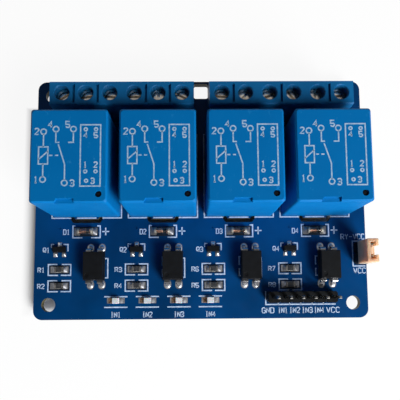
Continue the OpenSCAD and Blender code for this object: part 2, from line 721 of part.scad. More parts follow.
// Chip resistors in two rows, each with raised metal end caps.
module chip_resistors() {
    cap = 0.4;          // length of an end cap
    cap_h = 0.52;
    chip_h = 0.48;
    step = 0.02;        // how far the caps stand proud of the ceramic
    color("#3a3b40") for (c = [0 : channels - 1], row = [0, 1])
        translate([channel_at(c) + chip_x, resistor_y + row * resistor_rows, board_top]) {
            slab(chip_l, chip_w - 2 * step, step, chip_h);
            for (side = [-1, 1])
                translate([side * (chip_l - cap) / 2, 0, 0]) slab(cap, chip_w, 0, cap_h);
        }
}

// Indicator lights: a flat carrier with a clear moulded block on it.
module indicator_leds() {
    carrier_h = 0.4;
    lens_h = 0.85;
    lens_share = 0.7;   // of the carrier's length
    color("#e8e6df") for (k = [0 : channels - 1])
        translate([first_led_x + k * led_pitch, led_y, board_top]) {
            slab(chip_l, chip_w, 0, carrier_h);
            slab(chip_l * lens_share, chip_w, carrier_h, lens_h);
        }
}

// Plastic of a pin header along x: notched between the pins, with a square hole for each.
module header_body(count) {
    nick = 0.35;        // bevel between neighbouring pins
    half_l = count * pin_pitch / 2;
    side = [for (k = [0 : count - 1]) each [
        [-half_l + k * pin_pitch, -header_w / 2 + nick],
        [-half_l + k * pin_pitch + nick, -header_w / 2],
        [-half_l + (k + 1) * pin_pitch - nick, -header_w / 2],
        [-half_l + (k + 1) * pin_pitch, -header_w / 2 + nick]]];
    difference() {
        linear_extrude(header_w) polygon(concat(side, [for (k = [len(side) - 1 : -1 : 0])
            [side[k].x, -side[k].y]]));
        for (k = [0 : count - 1])
            translate([post_at(count, k), 0, 0]) slab(pin_side + play, pin_side + play, -1, header_w + 1);
    }
}

// One square pin from the cut end at z = 0 up to its tapered tip.
module header_pin(height) {
    tip = 0.5;          // length of the taper
    tip_scale = 0.5;    // the tip's side as a share of the pin's
    slab(pin_side, pin_side, 0, height - tip);
    translate([0, 0, height - tip]) linear_extrude(tip, scale = tip_scale)
        square(pin_side, center = true);
}

module input_header() {
    color("#1d1e21") translate([input_x, input_y, board_top]) header_body(input_pins);
}

module input_header_pins() {
    color("#cfcabb") for (s = input_sites)
        translate([s.x, s.y, 0]) header_pin(board_top + header_w + input_post);
}

module supply_header() {
    color("#1d1e21") translate([supply_x, supply_y, board_top]) rotate([0, 0, 90])
        header_body(supply_pins);
}

module supply_header_pins() {
    color("#cfcabb") for (s = supply_sites)
        translate([s.x, s.y, 0]) header_pin(board_top + header_w + supply_post);
}

// Jumper cap: a chamber below for the clip, two windows above, and a finger notch outside.
module jumper_cap() {
    cap_r = 0.25;
    end_wall = 0.4;
    grip_floor = 0.3;   // plastic between the chamber and the finger notch
    chamber_w = clip_w + 2 * play;
    chamber_l = cap_l - 2 * end_wall;
    color("#c9a06c") translate([supply_x, supply_y, cap_z]) difference() {
        rounded_plate(cap_w, cap_l, cap_r, cap_h);
        slab(chamber_w, chamber_l, -eps, socket_h);
        for (k = [0 : supply_pins - 1])
            translate([0, post_at(supply_pins, k), 0])
                slab(pin_window, pin_window, -eps, cap_h + eps);
        translate([cap_w / 2 - grip_d, -grip_w / 2, socket_h + grip_floor])
            cube([grip_d + 1, grip_w, cap_h]);
    }
}

// Brass clip: two long leaves that pinch both pins, bridged between them.
module jumper_clip() {
    leaf_l = cap_l - 1;
    leaf_z = 0.4;       // height of the leaves' lower ends in the cap
    leaf_top_z = socket_h - play;
    bridge_l = pin_pitch - pin_side - 0.6;
    color("#c8a850") translate([supply_x, supply_y, cap_z]) {
        for (side = [-1, 1])
            translate([side * (clip_w - clip_t) / 2, 0, 0]) slab(clip_t, leaf_l, leaf_z, leaf_top_z);
        slab(clip_w, bridge_l, leaf_top_z - clip_t, leaf_top_z);
    }
}

// Solder cones round the pins on the underside of the board.
module solder_joints() {
    thin = 0.2;         // solder round the pin at the cone's tip
    pad = 0.45;         // width of the pad round the drilled hole
    color("#b8babd") for (s = pin_sites)
        translate([s.x, s.y, tail - solder_h]) difference() {
            cylinder(r1 = thin + max(s[2], s[3]) / 2, r2 = pad + s[4] / 2, h = solder_h, $fn = 24);
            slab(s[2], s[3], -1, solder_h + 1);
        }
}

circuit_board();
for (b = [0 : block_count - 1])
    terminal_block(b);
for (s = [0 : len(ways_x) - 1]) {
    terminal_screw(s);
    terminal_clamp(s);
}
terminal_contacts();
for (c = [0 : channels - 1]) {
    relay_case(c);
    relay_armature(c);
}
relay_bases();
relay_yokes();
relay_bobbins();
relay_windings();
relay_pins();
optocouplers();
optocoupler_leads();
diodes();
transistors();
transistor_leads();
chip_resistors();
indicator_leds();
input_header();
input_header_pins();
supply_header();
supply_header_pins();
jumper_cap();
jumper_clip();
solder_joints();
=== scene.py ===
"""Dresses the four-channel relay board: solder mask, silkscreen, solder, moulded covers, print and parts."""
import math
import bmesh
import bpy
import numpy as np
from mathutils import Matrix, Vector


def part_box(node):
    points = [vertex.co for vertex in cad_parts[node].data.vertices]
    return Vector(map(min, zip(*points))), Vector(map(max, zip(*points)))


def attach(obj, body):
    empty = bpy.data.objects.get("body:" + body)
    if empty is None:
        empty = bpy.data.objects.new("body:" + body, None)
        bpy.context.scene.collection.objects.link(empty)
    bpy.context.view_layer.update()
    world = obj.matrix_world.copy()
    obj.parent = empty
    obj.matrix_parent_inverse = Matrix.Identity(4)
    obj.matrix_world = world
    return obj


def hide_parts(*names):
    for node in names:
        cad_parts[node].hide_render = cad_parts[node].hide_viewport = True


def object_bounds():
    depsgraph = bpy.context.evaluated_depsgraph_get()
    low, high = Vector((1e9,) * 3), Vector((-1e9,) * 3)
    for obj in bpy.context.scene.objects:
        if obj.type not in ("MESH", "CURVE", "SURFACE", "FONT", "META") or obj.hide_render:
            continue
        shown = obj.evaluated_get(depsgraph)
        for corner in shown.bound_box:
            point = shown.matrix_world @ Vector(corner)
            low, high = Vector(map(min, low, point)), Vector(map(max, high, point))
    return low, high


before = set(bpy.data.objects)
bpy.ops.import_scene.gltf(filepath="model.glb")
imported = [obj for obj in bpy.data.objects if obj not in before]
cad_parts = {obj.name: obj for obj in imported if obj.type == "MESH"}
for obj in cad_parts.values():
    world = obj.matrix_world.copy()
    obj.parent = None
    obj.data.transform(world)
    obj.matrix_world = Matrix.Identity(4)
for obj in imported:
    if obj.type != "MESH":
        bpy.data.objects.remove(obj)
cad_box = [list(corner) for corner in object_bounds()]


def put(name, data):
    """A new object of a mesh, lamp or camera in the scene."""
    thing = bpy.data.objects.new(name, data)
    bpy.context.scene.collection.objects.link(thing)
    return thing


# ---- shapes, in mm

def loft(loops):
    """Skin over a stack of closed loops, an array (loops, points, 3): quads join each point to its neighbours
    in the loop and in the next loop up, and a flat face closes the first and the last loop."""
    k, n = loops.shape[:2]
    here = np.arange(k * n).reshape(k, n)
    nxt = np.roll(here, -1, axis=1)
    quads = np.stack([here[:-1], nxt[:-1], nxt[1:], here[1:]], axis=-1).reshape(-1, 4)
    return loops.reshape(-1, 3), [quads, here[:1, ::-1], here[-1:]]


def joined(shapes):
    """Several meshes as one: points are laid end to end, and each mesh's face numbers move up by the points
    before it."""
    starts = np.cumsum([0] + [len(points) for points, _ in shapes])
    return (np.concatenate([points for points, _ in shapes]),
            [face + start for (_, faces), start in zip(shapes, starts) for face in faces])


def copies(shape, places):
    """The same mesh at each place: every place is added to every point."""
    points, faces = shape
    places = np.asarray(places, float).reshape(-1, 3)
    step = (np.arange(len(places)) * len(points))[:, None, None]
    return ((points[None] + places[:, None]).reshape(-1, 3),
            [(face[None] + step).reshape(-1, face.shape[1]) for face in faces])


def turned(shape, axis, degrees):
    """The mesh turned about an axis through the origin: its points times the rotation matrix."""
    turn = np.array(Matrix.Rotation(math.radians(degrees), 3, axis))
    return shape[0] @ turn.T, shape[1]


def mirrored(shape, axis):
    """The mesh reflected through the origin along one axis, with each face's order reversed so that it still
    faces outwards."""
    points = shape[0].copy()
    points[:, axis] *= -1
    return points, [face[:, ::-1] for face in shape[1]]


def outline(w, l, r, arc=5):
    """Anticlockwise outline of a w by l rectangle with corner radius r: four quarter circles round the corner
    centres."""
    angle = np.radians(np.linspace(0, 90, arc) + np.arange(4)[:, None] * 90)
    sign = np.sign(np.stack([np.cos(angle.mean(1)), np.sin(angle.mean(1))], 1))
    centre = sign * (np.array([w, l]) / 2 - r)
    ring = np.stack([np.cos(angle), np.sin(angle)], -1) * r
    return (centre[:, None] + ring).reshape(-1, 2)


def moulded(w, l, r, levels, arc=5, least=0.01):
    """Rounded block from levels of (growth, height): at each height the outline grows by that much on every
    side, and its corner radius grows with it but stays above the least."""
    return loft(np.stack([np.column_stack([outline(w + 2 * g, l + 2 * g, max(r + g, least), arc),
                                           np.full(4 * arc, z)]) for g, z in levels]))


def eased_block(w, l, h, r, edge):
    """Rounded block h high whose top and bottom edges are quarter circles of radius edge."""
    t = np.radians(np.linspace(0, 90, 4))
    low = np.column_stack([edge * np.sin(t) - edge, edge - edge * np.cos(t)])
    high = np.column_stack([edge * np.cos(t) - edge, h - edge + edge * np.sin(t)])
    return moulded(w, l, r, np.vstack([low, high]))


def lathe(profile, around=32):
    """Solid of revolution about z: each (radius, height) of the profile becomes a circle."""
    radius, height = np.asarray(profile, float).T
    angle = np.arange(around) * 2 * np.pi / around
    return loft(np.stack([radius[:, None] * np.cos(angle), radius[:, None] * np.sin(angle),
                          np.repeat(height[:, None], around, 1)], -1))


def bar(path, fixed, deep, wide, least=0.66):
    """Flat bar along a path of points: deep along the fixed direction and wide across the path. At a bend
    both sides meet on the half angle: the width is divided by its cosine, or by the least if that is more."""
    path, fixed = np.asarray(path, float), np.asarray(fixed, float)
    run = np.diff(path, axis=0)
    run /= np.linalg.norm(run, axis=1)[:, None]
    side = np.cross(fixed, run)
    before, after = np.vstack([side[:1], side]), np.vstack([side, side[-1:]])
    if np.allclose(path[0], path[-1]):
        before[0], after[-1] = side[-1], side[0]
    mitre = before + after
    mitre /= np.linalg.norm(mitre, axis=1)[:, None]
    mitre /= np.maximum((mitre * before).sum(1), least)[:, None]
    up, out = fixed * deep / 2, mitre * wide / 2
    return loft(np.stack([path + out - up, path + out + up, path - out + up, path - out - up], axis=1))


def fillet(pad, pin, height, around=20, steps=7, square=0.4, hollow=2.2):
    """Solder drawn up a pin: the outline goes in equal steps from the pad's ellipse to the pin's, whose
    cosine and sine are to the power square, while the height grows with the step to the power hollow."""
    t = np.linspace(0, 1, steps)[:, None]
    angle = np.arange(around) * 2 * np.pi / around
    c, s = np.cos(angle), np.sin(angle)
    inner = [half * np.sign(v) * np.abs(v) ** square for half, v in zip(pin, (c, s))]
    outer = pad[0] * c, pad[1] * s
    x, y = ((1 - t) * o + t * i for o, i in zip(outer, inner))
    return loft(np.stack([x, y, height * t ** hollow + 0 * x], -1))


def mound(w, l, height, lean, steps=9):
    """Low heap on a w by l pad, with u and v from -1 to 1 along its sides: the height times (1 - u^4) times
    (1 - v^2)^0.6 times (1 + lean u), never below zero, over a flat underside."""
    u, v = np.meshgrid(np.linspace(-1, 1, steps), np.linspace(-1, 1, steps), indexing="ij")
    z = height * (1 - u ** 4) * (1 - v ** 2) ** 0.6 * (1 + lean * u)
    grid = np.arange(steps * steps).reshape(steps, steps)
    quads = np.stack([grid[:-1, :-1], grid[1:, :-1], grid[1:, 1:], grid[:-1, 1:]], -1).reshape(-1, 4)
    edge = np.concatenate([grid[:, 0], grid[-1, 1:], grid[-2::-1, -1], grid[0, -2:0:-1]])
    return (np.stack([u * w / 2, v * l / 2, np.maximum(z, 0)], -1).reshape(-1, 3), [quads, edge[None, ::-1]])


def slotted_head(radius, height, slot, depth, dome, rounding, rows=8, along=21):
    """Screw head cut in chords along its slot: rows stop exactly at the slot's two walls, each row's ends lie
    on the rim, the top falls by dome times (r / R)^2 and by rounding times (r / R)^16, and a skirt closes it
    down to a flat base."""
    wall, last = slot / 2, radius * 0.999
    across = np.concatenate([np.linspace(-last, -wall, rows), [-wall, wall], np.linspace(wall, last, rows)])
    sunk = np.concatenate([np.zeros(rows), [depth, depth], np.zeros(rows)])
    reach = np.sqrt(radius ** 2 - across ** 2)
    u = np.sin(np.linspace(-1, 1, along) * np.pi / 2)
    x, y = reach[:, None] * u, np.repeat(across[:, None], along, 1)
    share = (x ** 2 + y ** 2) / radius ** 2
    z = height - dome * share - rounding * share ** 8
    z = np.where(sunk[:, None] > 0, np.minimum(z, height - sunk[:, None]), z)
    top = np.stack([x, y, z], -1).reshape(-1, 3)
    grid = np.arange(len(top)).reshape(len(across), along)
    quads = np.stack([grid[:-1, :-1], grid[:-1, 1:], grid[1:, 1:], grid[1:, :-1]], -1).reshape(-1, 4)
    rim = np.concatenate([grid[0, :], grid[1:, -1], grid[-1, -2::-1], grid[-2:0:-1, 0]])
    base = top[rim] * [1, 1, 0]
    low = len(top) + np.arange(len(rim))
    skirt = np.stack([low, np.roll(low, -1), np.roll(rim, -1), rim], -1)
    return np.concatenate([top, base]), [quads, skirt, low[None, ::-1]]


def thread(radius, depth, pitch, length, around=28, steps=6, runout=0.7, trace=0.02):
    """Screw thread on a grid of angle and height: the radius drops by depth times a triangle wave of
    height / pitch - angle / turn, and over the last runout pitches it fades to a trace at both ends."""
    z = np.linspace(0, length, int(length / pitch * steps) + 1)[:, None]
    angle = np.arange(around) * 2 * np.pi / around
    wave = np.abs(2 * ((z / pitch - angle / (2 * np.pi)) % 1) - 1)
    fade = np.minimum(1, np.minimum(z, length - z) / (runout * pitch) + trace)
    r = radius - depth * (1 - (1 - wave) * fade)
    return loft(np.stack([r * np.cos(angle), r * np.sin(angle), z + 0 * r], -1))


# ---- places read from the frame

def span(node):
    """Lowest and highest corner of a CAD node, in mm."""
    return [np.array(corner) * 1000 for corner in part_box(node)]


def solids(node):
    """Lowest and highest corner of each separate solid in a CAD node, in mm, from left to right: triangles
    that share a point take the lowest of their points' labels, again and again, until no label changes."""
    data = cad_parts[node].data
    flat = np.empty(len(data.vertices) * 3)
    data.vertices.foreach_get("co", flat)
    corners = np.empty(len(data.loops), int)
    data.loops.foreach_get("vertex_index", corners)
    points, ids = np.unique(flat.reshape(-1, 3), axis=0, return_inverse=True)
    triangles = ids.ravel()[corners].reshape(-1, 3)
    label, before = np.arange(len(points)), None
    while before is None or (label != before).any():
        before = label.copy()
        np.minimum.at(label, triangles.ravel(), np.repeat(label[triangles].min(1), 3))
        label = label[label]
    groups = [points[label == one] * 1000 for one in np.unique(label)]
    boxes = [(group.min(0), group.max(0)) for group in groups]
    return sorted(boxes, key=lambda box: (round(box[0][0], 2), round(box[0][1], 2)))


def middle(box):
    """Centre of a box given by its two corners."""
    return (box[0] + box[1]) / 2


BOARD = span("circuit_board")
TOP, UNDER = BOARD[1][2], BOARD[0][2]
LEFT, FRONT = BOARD[0][:2]
RIGHT, BACK = BOARD[1][:2]
CHANNELS = [span(f"relay_case_{c}") for c in range(1, 5)]
CHANNEL_X = [middle(box)[0] for box in CHANNELS]
RELAY_FRONT, RELAY_BACK = CHANNELS[0][0][1], CHANNELS[0][1][1]
DIODES, OPTOS, TRANSISTORS = solids("diodes"), solids("optocouplers"), solids("transistors")
RESISTORS, LEDS, SOLDER = solids("chip_resistors"), solids("indicator_leds"), solids("solder_joints")
LEADS = solids("optocoupler_leads")
HEADER, SUPPLY = span("input_header"), span("supply_header")
SCREWS = [span(f"terminal_screw_{s}") for s in range(1, 13)]
HEADER_PITCH = 2.54


# ---- camera, lamps and floor

CENTRE = Vector((middle(BOARD)[0], middle(BOARD)[1], TOP)) / 1000
# The camera's place from the middle of the board's top in m, its turns in degrees, its sensor and focal
# length in mm, and its shift as a share of the sensor.
STAND = Vector((-0.001776, -0.021685, 0.100764))
TURN_X, TURN_Y, TURN_Z = 5.151, -0.563, -0.401
SENSOR, LENS, SHIFT_X, SHIFT_Y = 36, 40.25, 0.0066, 0.131

camera = put("camera", bpy.data.cameras.new("camera"))
bpy.context.scene.camera = camera
aim = (Matrix.Rotation(math.radians(TURN_X), 4, "X") @ Matrix.Rotation(math.radians(TURN_Y), 4, "Y")
       @ Matrix.Rotation(math.radians(TURN_Z), 4, "Z"))
camera.matrix_world = Matrix.Translation(CENTRE + STAND) @ aim
camera.data.sensor_width = SENSOR
camera.data.lens = LENS
camera.data.shift_x, camera.data.shift_y = SHIFT_X, SHIFT_Y
camera.data.clip_start = 0.005


def lamp(name, direction, distance, size, power):
    """Square soft light aimed at the middle of the board from one direction."""
    light = bpy.data.lights.new(name, "AREA")
    light.size, light.energy = size, power
    thing = put(name, light)
    away = Vector(direction).normalized()
    thing.location = CENTRE + away * distance
    thing.rotation_euler = away.to_track_quat("Z", "Y").to_euler()


lamp("key", direction=(0.71, -0.93, 1.0), distance=0.60, size=0.23, power=3.7)
lamp("low_side", direction=(0.72, -0.86, 0.34), distance=0.30, size=0.13, power=0.72)
bpy.context.scene.view_settings.view_transform = "Standard"


def paint(hex_colour):
    """sRGB hex to linear: c / 12.92 up to 0.04045, above it ((c + 0.055) / 1.055) to the power 2.4."""
    c = np.array([int(hex_colour[i:i + 2], 16) for i in (1, 3, 5)]) / 255
    return (*np.where(c <= 0.04045, c / 12.92, ((c + 0.055) / 1.055) ** 2.4).tolist(), 1.0)


def add(tree, kind, values=(), links=(), **settings):
    """Adds one shader node with its settings, the values of its sockets and the links into it."""
    node = tree.nodes.new("ShaderNode" + kind)
    for name, value in settings.items():
        setattr(node, name, value)
    for socket, value in dict(values).items():
        node.inputs[socket].default_value = value
    for socket, source in dict(links).items():
        tree.links.new(source, node.inputs[socket])
    return node


world = bpy.data.worlds.new("studio")
bpy.context.scene.world = world
world.use_nodes = True
sky = world.node_tree
sky.nodes.clear()
ray = add(sky, "LightPath")
toward = add(sky, "TexCoord")
height = add(sky, "SeparateXYZ", links={0: toward.outputs["Generated"]})
# Walls are brighter than the ceiling, so flat glossy faces keep their colour. Metal and glass see the same
# white walls as the camera does, up to a dark ceiling that is lowest in front.
WALL_LIGHT, CEILING_LIGHT = 0.19, 0.04
MIRRORED_WALLS, MIRRORED_CEILING, UP_AND_FRONT = 1.0, 0.12, (0, -0.38, 0.925)
falloff = add(sky, "MapRange",
              {"From Min": 0.1, "From Max": 0.8, "To Min": WALL_LIGHT, "To Max": CEILING_LIGHT},
              {0: height.outputs["Z"]})
ridge = add(sky, "VectorMath", {1: UP_AND_FRONT}, {0: toward.outputs["Generated"]},
            operation="DOT_PRODUCT")
tent = add(sky, "MapRange",
           {"From Min": 0.25, "From Max": 0.9, "To Min": MIRRORED_WALLS, "To Max": MIRRORED_CEILING},
           {0: ridge.outputs["Value"]})
through = add(sky, "Math", {},
              {0: ray.outputs["Is Glossy Ray"], 1: ray.outputs["Is Transmission Ray"]}, operation="MAXIMUM")
lit = add(sky, "Mix", {}, {0: through.outputs[0], 2: falloff.outputs[0], 3: tent.outputs[0]})
seen = add(sky, "Mix", {3: 1.0}, {0: ray.outputs["Is Camera Ray"], 2: lit.outputs[0]})
studio = add(sky, "Background", {"Color": paint("#ffffff")}, {"Strength": seen.outputs[0]})
add(sky, "OutputWorld", links={"Surface": studio.outputs[0]})

# Half the floor's side and the hair's breadth by which it lies below the solder joints, in m.
FLOOR_HALF, FLOOR_GAP = 1.6, 0.00002
floor_sheet = bpy.data.meshes.new("floor")
corners = [(x * FLOOR_HALF, y * FLOOR_HALF, 0) for x, y in ((-1, -1), (1, -1), (1, 1), (-1, 1))]
floor_sheet.from_pydata(corners, [], [(0, 1, 2, 3)])
floor = put("floor", floor_sheet)
floor_sheet.transform(Matrix.Translation((CENTRE.x, CENTRE.y, cad_box[0][2] - FLOOR_GAP)))
white = bpy.data.materials.new("white_paper")
white.use_nodes = True
tree = white.node_tree
tree.nodes.clear()
ray = add(tree, "LightPath")
matte = add(tree, "BsdfDiffuse", {"Color": paint("#fbfbfb")})
glow = add(tree, "Emission", {"Color": paint("#ffffff"), "Strength": 1.0})
# The glow fades out under the board, so most holes and slots look down on real shade. The shade's middle lies
# this far to the left and front of the board's, which leaves painted glow in the right front hole and the
# slot at the back;
# these are half its sides, in m.
SHADE_LEFT, SHADE_FRONT, SHADE_X, SHADE_Y = 0.004, 0.002, 0.037, 0.0245
spot = add(tree, "TexCoord")
shrunk = add(tree, "Mapping",
             {"Location": ((SHADE_LEFT - CENTRE.x) / SHADE_X, (SHADE_FRONT - CENTRE.y) / SHADE_Y, 0),
              "Scale": (1 / SHADE_X, 1 / SHADE_Y, 0)}, {"Vector": spot.outputs["Object"]})
size = add(tree, "VectorMath", links={0: shrunk.outputs[0]}, operation="ABSOLUTE")
sides = add(tree, "SeparateXYZ", links={0: size.outputs[0]})
apart = add(tree, "Math", {}, {0: sides.outputs["X"], 1: sides.outputs["Y"]}, operation="MAXIMUM")
around = add(tree, "MapRange", {1: 0.93, 2: 1.02, 3: 0.0, 4: 0.92}, {0: apart.outputs[0]})
eyes = add(tree, "Math", {},
           {0: ray.outputs["Is Camera Ray"], 1: ray.outputs["Is Transmission Ray"]}, operation="MAXIMUM")
mirrors = add(tree, "Math", {}, {0: eyes.outputs[0], 1: ray.outputs["Is Glossy Ray"]},
              operation="MAXIMUM")
share = add(tree, "Math", {}, {0: mirrors.outputs[0], 1: around.outputs[0]}, operation="MULTIPLY")
both = add(tree, "MixShader", links={0: share.outputs[0], 1: matte.outputs[0], 2: glow.outputs[0]})
add(tree, "OutputMaterial", links={"Surface": both.outputs[0]})
floor_sheet.materials.append(white)


# ---- finishes

def finish_of(name, colour, roughness, metallic=0.0, **sockets):
    """A material with one Principled shader: gives the material, its tree and the shader."""
    material = bpy.data.materials.new(name)
    material.use_nodes = True
    tree = material.node_tree
    tree.nodes.clear()
    values = {"Base Color": paint(colour), "Roughness": roughness, "Metallic": metallic}
    values.update({key.replace("_", " "): value for key, value in sockets.items()})
    shader = add(tree, "BsdfPrincipled", values)
    add(tree, "OutputMaterial", links={"Surface": shader.outputs["BSDF"]})
    return material, tree, shader


def patches(tree, size, detail=3.0, stretch=(1, 1, 1), roughness=0.5):
    """Soft uneven patches about size mm across, from 0 to 1, longer along an axis with a stretch above 1."""
    place = add(tree, "TexCoord")
    scaled = add(tree, "Mapping", {"Scale": tuple(1000 / size / s for s in stretch)},
                 {"Vector": place.outputs["Object"]})
    return add(tree, "TexNoise", {"Scale": 1.0, "Detail": detail, "Roughness": roughness},
               {"Vector": scaled.outputs[0]}).outputs[0]


def shaded(tree, shader, amount, low, high, start=0.3, end=0.7):
    """Base colour from one hex to another as the amount goes from start to end."""
    mix = add(tree, "MapRange", {1: start, 2: end, 3: 0.0, 4: 1.0}, {0: amount})
    blend = add(tree, "Mix", {6: paint(low), 7: paint(high)}, {0: mix.outputs[0]}, data_type="RGBA")
    tree.links.new(blend.outputs[2], shader.inputs["Base Color"])
    return blend.outputs[2]


def polish(tree, shader, amount, low, high):
    """Roughness from low to high as the amount goes from 0.3 to 0.7."""
    spread = add(tree, "MapRange", {1: 0.3, 2: 0.7, 3: low, 4: high}, {0: amount})
    tree.links.new(spread.outputs[0], shader.inputs["Roughness"])


def relief(tree, shader, *waves):
    """Bump from pairs of (amount, height in mm), one on top of the other."""
    normal = None
    for amount, height_mm in waves:
        bump = add(tree, "Bump", {"Strength": 1.0, "Distance": height_mm / 1000},
                   {"Height": amount, **({"Normal": normal} if normal else {})})
        normal = bump.outputs[0]
    tree.links.new(normal, shader.inputs["Normal"])


def board_laminate(name, low, high):
    """Liquid solder mask on woven glass laminate: a satin, slightly uneven film over the weave. Cut edges and
    slot walls are bare laminate, straw brown with layered glass cloth."""
    material, tree, shader = finish_of(name, low, 0.34, Specular_IOR_Level=0.1)
    cloud = patches(tree, 14)
    mask = shaded(tree, shader, cloud, low, high)
    polish(tree, shader, patches(tree, 2.5), 0.28, 0.4)
    # Glass cloth has about 0.5 mm between yarns, and they are drawn 1.1 mm apart so that they show. A wave of
    # scale s repeats every 6.28 / (20 s) m.
    yarn_gap = 0.0011
    place = add(tree, "TexCoord")
    yarns = [add(tree, "TexWave", {"Scale": 6.28 / 20 / yarn_gap, "Distortion": 0.6},
                 {"Vector": place.outputs["Object"]}, bands_direction=axis) for axis in ("X", "Y")]
    cloth = add(tree, "Math", {}, {0: yarns[0].outputs[1], 1: yarns[1].outputs[1]},
                operation="MULTIPLY")
    relief(tree, shader, (cloth.outputs[0], 0.0012), (patches(tree, 5), 0.02))
    facing = add(tree, "NewGeometry")
    upright = add(tree, "SeparateXYZ", links={0: facing.outputs["True Normal"]})
    level = add(tree, "Math", links={0: upright.outputs["Z"]}, operation="ABSOLUTE")
    is_edge = add(tree, "Math", {1: 0.5}, {0: level.outputs[0]}, operation="LESS_THAN")
    layers = patches(tree, 0.8, 4.0, stretch=(4, 4, 0.25))
    core = add(tree, "Mix", {6: paint("#3f3b26"), 7: paint("#6b6444")}, {0: layers},
               data_type="RGBA")
    surface = add(tree, "Mix", {}, {0: is_edge.outputs[0], 6: mask, 7: core.outputs[2]},
                  data_type="RGBA")
    tree.links.new(surface.outputs[2], shader.inputs["Base Color"])
    return material


def moulded_plastic(name, low, high, roughness, grain, depth, patch=6.0, scuffs=None, **sockets):
    """Injection moulded plastic: fine spark-eroded texture from the mould, faint flow clouds in the colour,
    and a polish that changes a little from place to place. Scuffs are small pale rubs from handling."""
    material, tree, shader = finish_of(name, low, roughness, **sockets)
    cloud = patches(tree, patch, 4.0)
    colour = shaded(tree, shader, cloud, low, high)
    if scuffs:
        rubbed = add(tree, "MapRange", {1: 0.63, 2: 0.74, 3: 0.0, 4: 0.4},
                     {0: patches(tree, 0.7, 5.0, (1, 2.0, 1), 0.62)})
        worn = add(tree, "Mix", {7: paint(scuffs)}, {0: rubbed.outputs[0], 6: colour},
                   data_type="RGBA")
        tree.links.new(worn.outputs[2], shader.inputs["Base Color"])
    polish(tree, shader, patches(tree, patch / 3), roughness - 0.05, roughness + 0.07)
    relief(tree, shader, (patches(tree, grain, 2.0), depth), (patches(tree, 7), depth * 4))
    return material


def plated(name, low, high, roughness, grain=0.35, depth=0.004, metallic=1.0):
    """Plated or tinned metal: a faint grain, and dull spots where it has oxidised."""
    material, tree, shader = finish_of(name, low, roughness, metallic)
    shaded(tree, shader, patches(tree, grain * 3, 4.0), low, high)
    polish(tree, shader, patches(tree, grain * 2), roughness - 0.08, roughness + 0.12)
    relief(tree, shader, (patches(tree, grain), depth))
    return material


def ink(name, low, high):
    """Screen-printed epoxy ink: matt, thin enough for the blue below to show through in patches."""
    material, tree, shader = finish_of(name, low, 0.55, Specular_IOR_Level=0.3)
    shaded(tree, shader, patches(tree, 0.5, 5.0), low, high, 0.25, 0.6)
    relief(tree, shader, (patches(tree, 0.2, 2.0), 0.006))
    return material


# The mask is paler where copper lies under it. Its windows round the small parts are near black: painted
# shade round the parts.
mask = board_laminate("blue_solder_mask_on_glass_epoxy", "#002e58", "#003f76")
mask_over_copper = board_laminate("solder_mask_over_copper", "#004480", "#00508e")
near_black_pad_shade = moulded_plastic("painted_shade_in_mask_windows", "#0a131d", "#152230", 0.5, 0.2, 0.006,
                                Specular_IOR_Level=0.2)
# Both inks are matt and uneven, and some blue comes through.
screen_ink = ink("white_silkscreen_ink", "#86a1c4", "#bdcfe8")
pad_ink = ink("grey_pad_print_on_plastic", "#6f9cc4", "#a9bfd4")
# PBT relay cover: satin blue from a finely eroded mould.
cover_blue = moulded_plastic("moulded_blue_pbt", "#0065a6", "#006aac", 0.52, 0.22, 0.006, 9.0, "#2f8ac4",
                             Specular_IOR_Level=0.08)
# Polyamide 66 is a little darker and waxier than the covers.
housing_blue = moulded_plastic("moulded_blue_polyamide", "#0a5c92", "#0e649c", 0.42, 0.25, 0.007, 5.0,
                               "#3f8fbe", Specular_IOR_Level=0.16)
base_plastic = moulded_plastic("moulded_dark_blue_pbt", "#16354c", "#1b3f5a", 0.5, 0.25, 0.006)
# Packages and pin strips are near black, with a fine grain that breaks up the gloss.
epoxy_black = moulded_plastic("transfer_moulded_black_epoxy", "#08090b", "#0f1114", 0.5, 0.16, 0.01, 1.5,
                              Specular_IOR_Level=0.14)
header_black = moulded_plastic("moulded_black_nylon", "#050709", "#0a0d10", 0.46, 0.2, 0.006, 2.0,
                               Specular_IOR_Level=0.14)
# Unfilled nylon lets light through, so that the shaded wall of the cap glows a little from the lit one.
jumper_tan = moulded_plastic("moulded_tan_nylon", "#c2967c", "#d4ad90", 0.42, 0.2, 0.006, 1.6,
                             Specular_IOR_Level=0.12, Subsurface_Weight=0.7, Subsurface_Scale=0.004,
                             Subsurface_Radius=(1.0, 0.66, 0.52))
bobbin_white = moulded_plastic("moulded_natural_pbt", "#d4d2c6", "#e2e0d6", 0.45, 0.25, 0.005)
# Small parts: milky resin, straw laminate, chalky ceramic and a satin black glaze.
led_white = moulded_plastic("milky_led_resin", "#bfc4c6", "#d6dbdf", 0.28, 0.3, 0.004, 0.9,
                            Subsurface_Weight=0.3, Subsurface_Scale=0.0004)
carrier_white = moulded_plastic("led_carrier_laminate", "#cfc8ae", "#ded8c2", 0.5, 0.25, 0.004, 1.0)
alumina = moulded_plastic("fired_alumina_ceramic", "#dcd8cc", "#eae6dc", 0.6, 0.12, 0.004, 0.8)
glaze = moulded_plastic("black_resistor_glaze", "#1c1e21", "#3a3b3e", 0.4, 0.3, 0.01, 0.5)
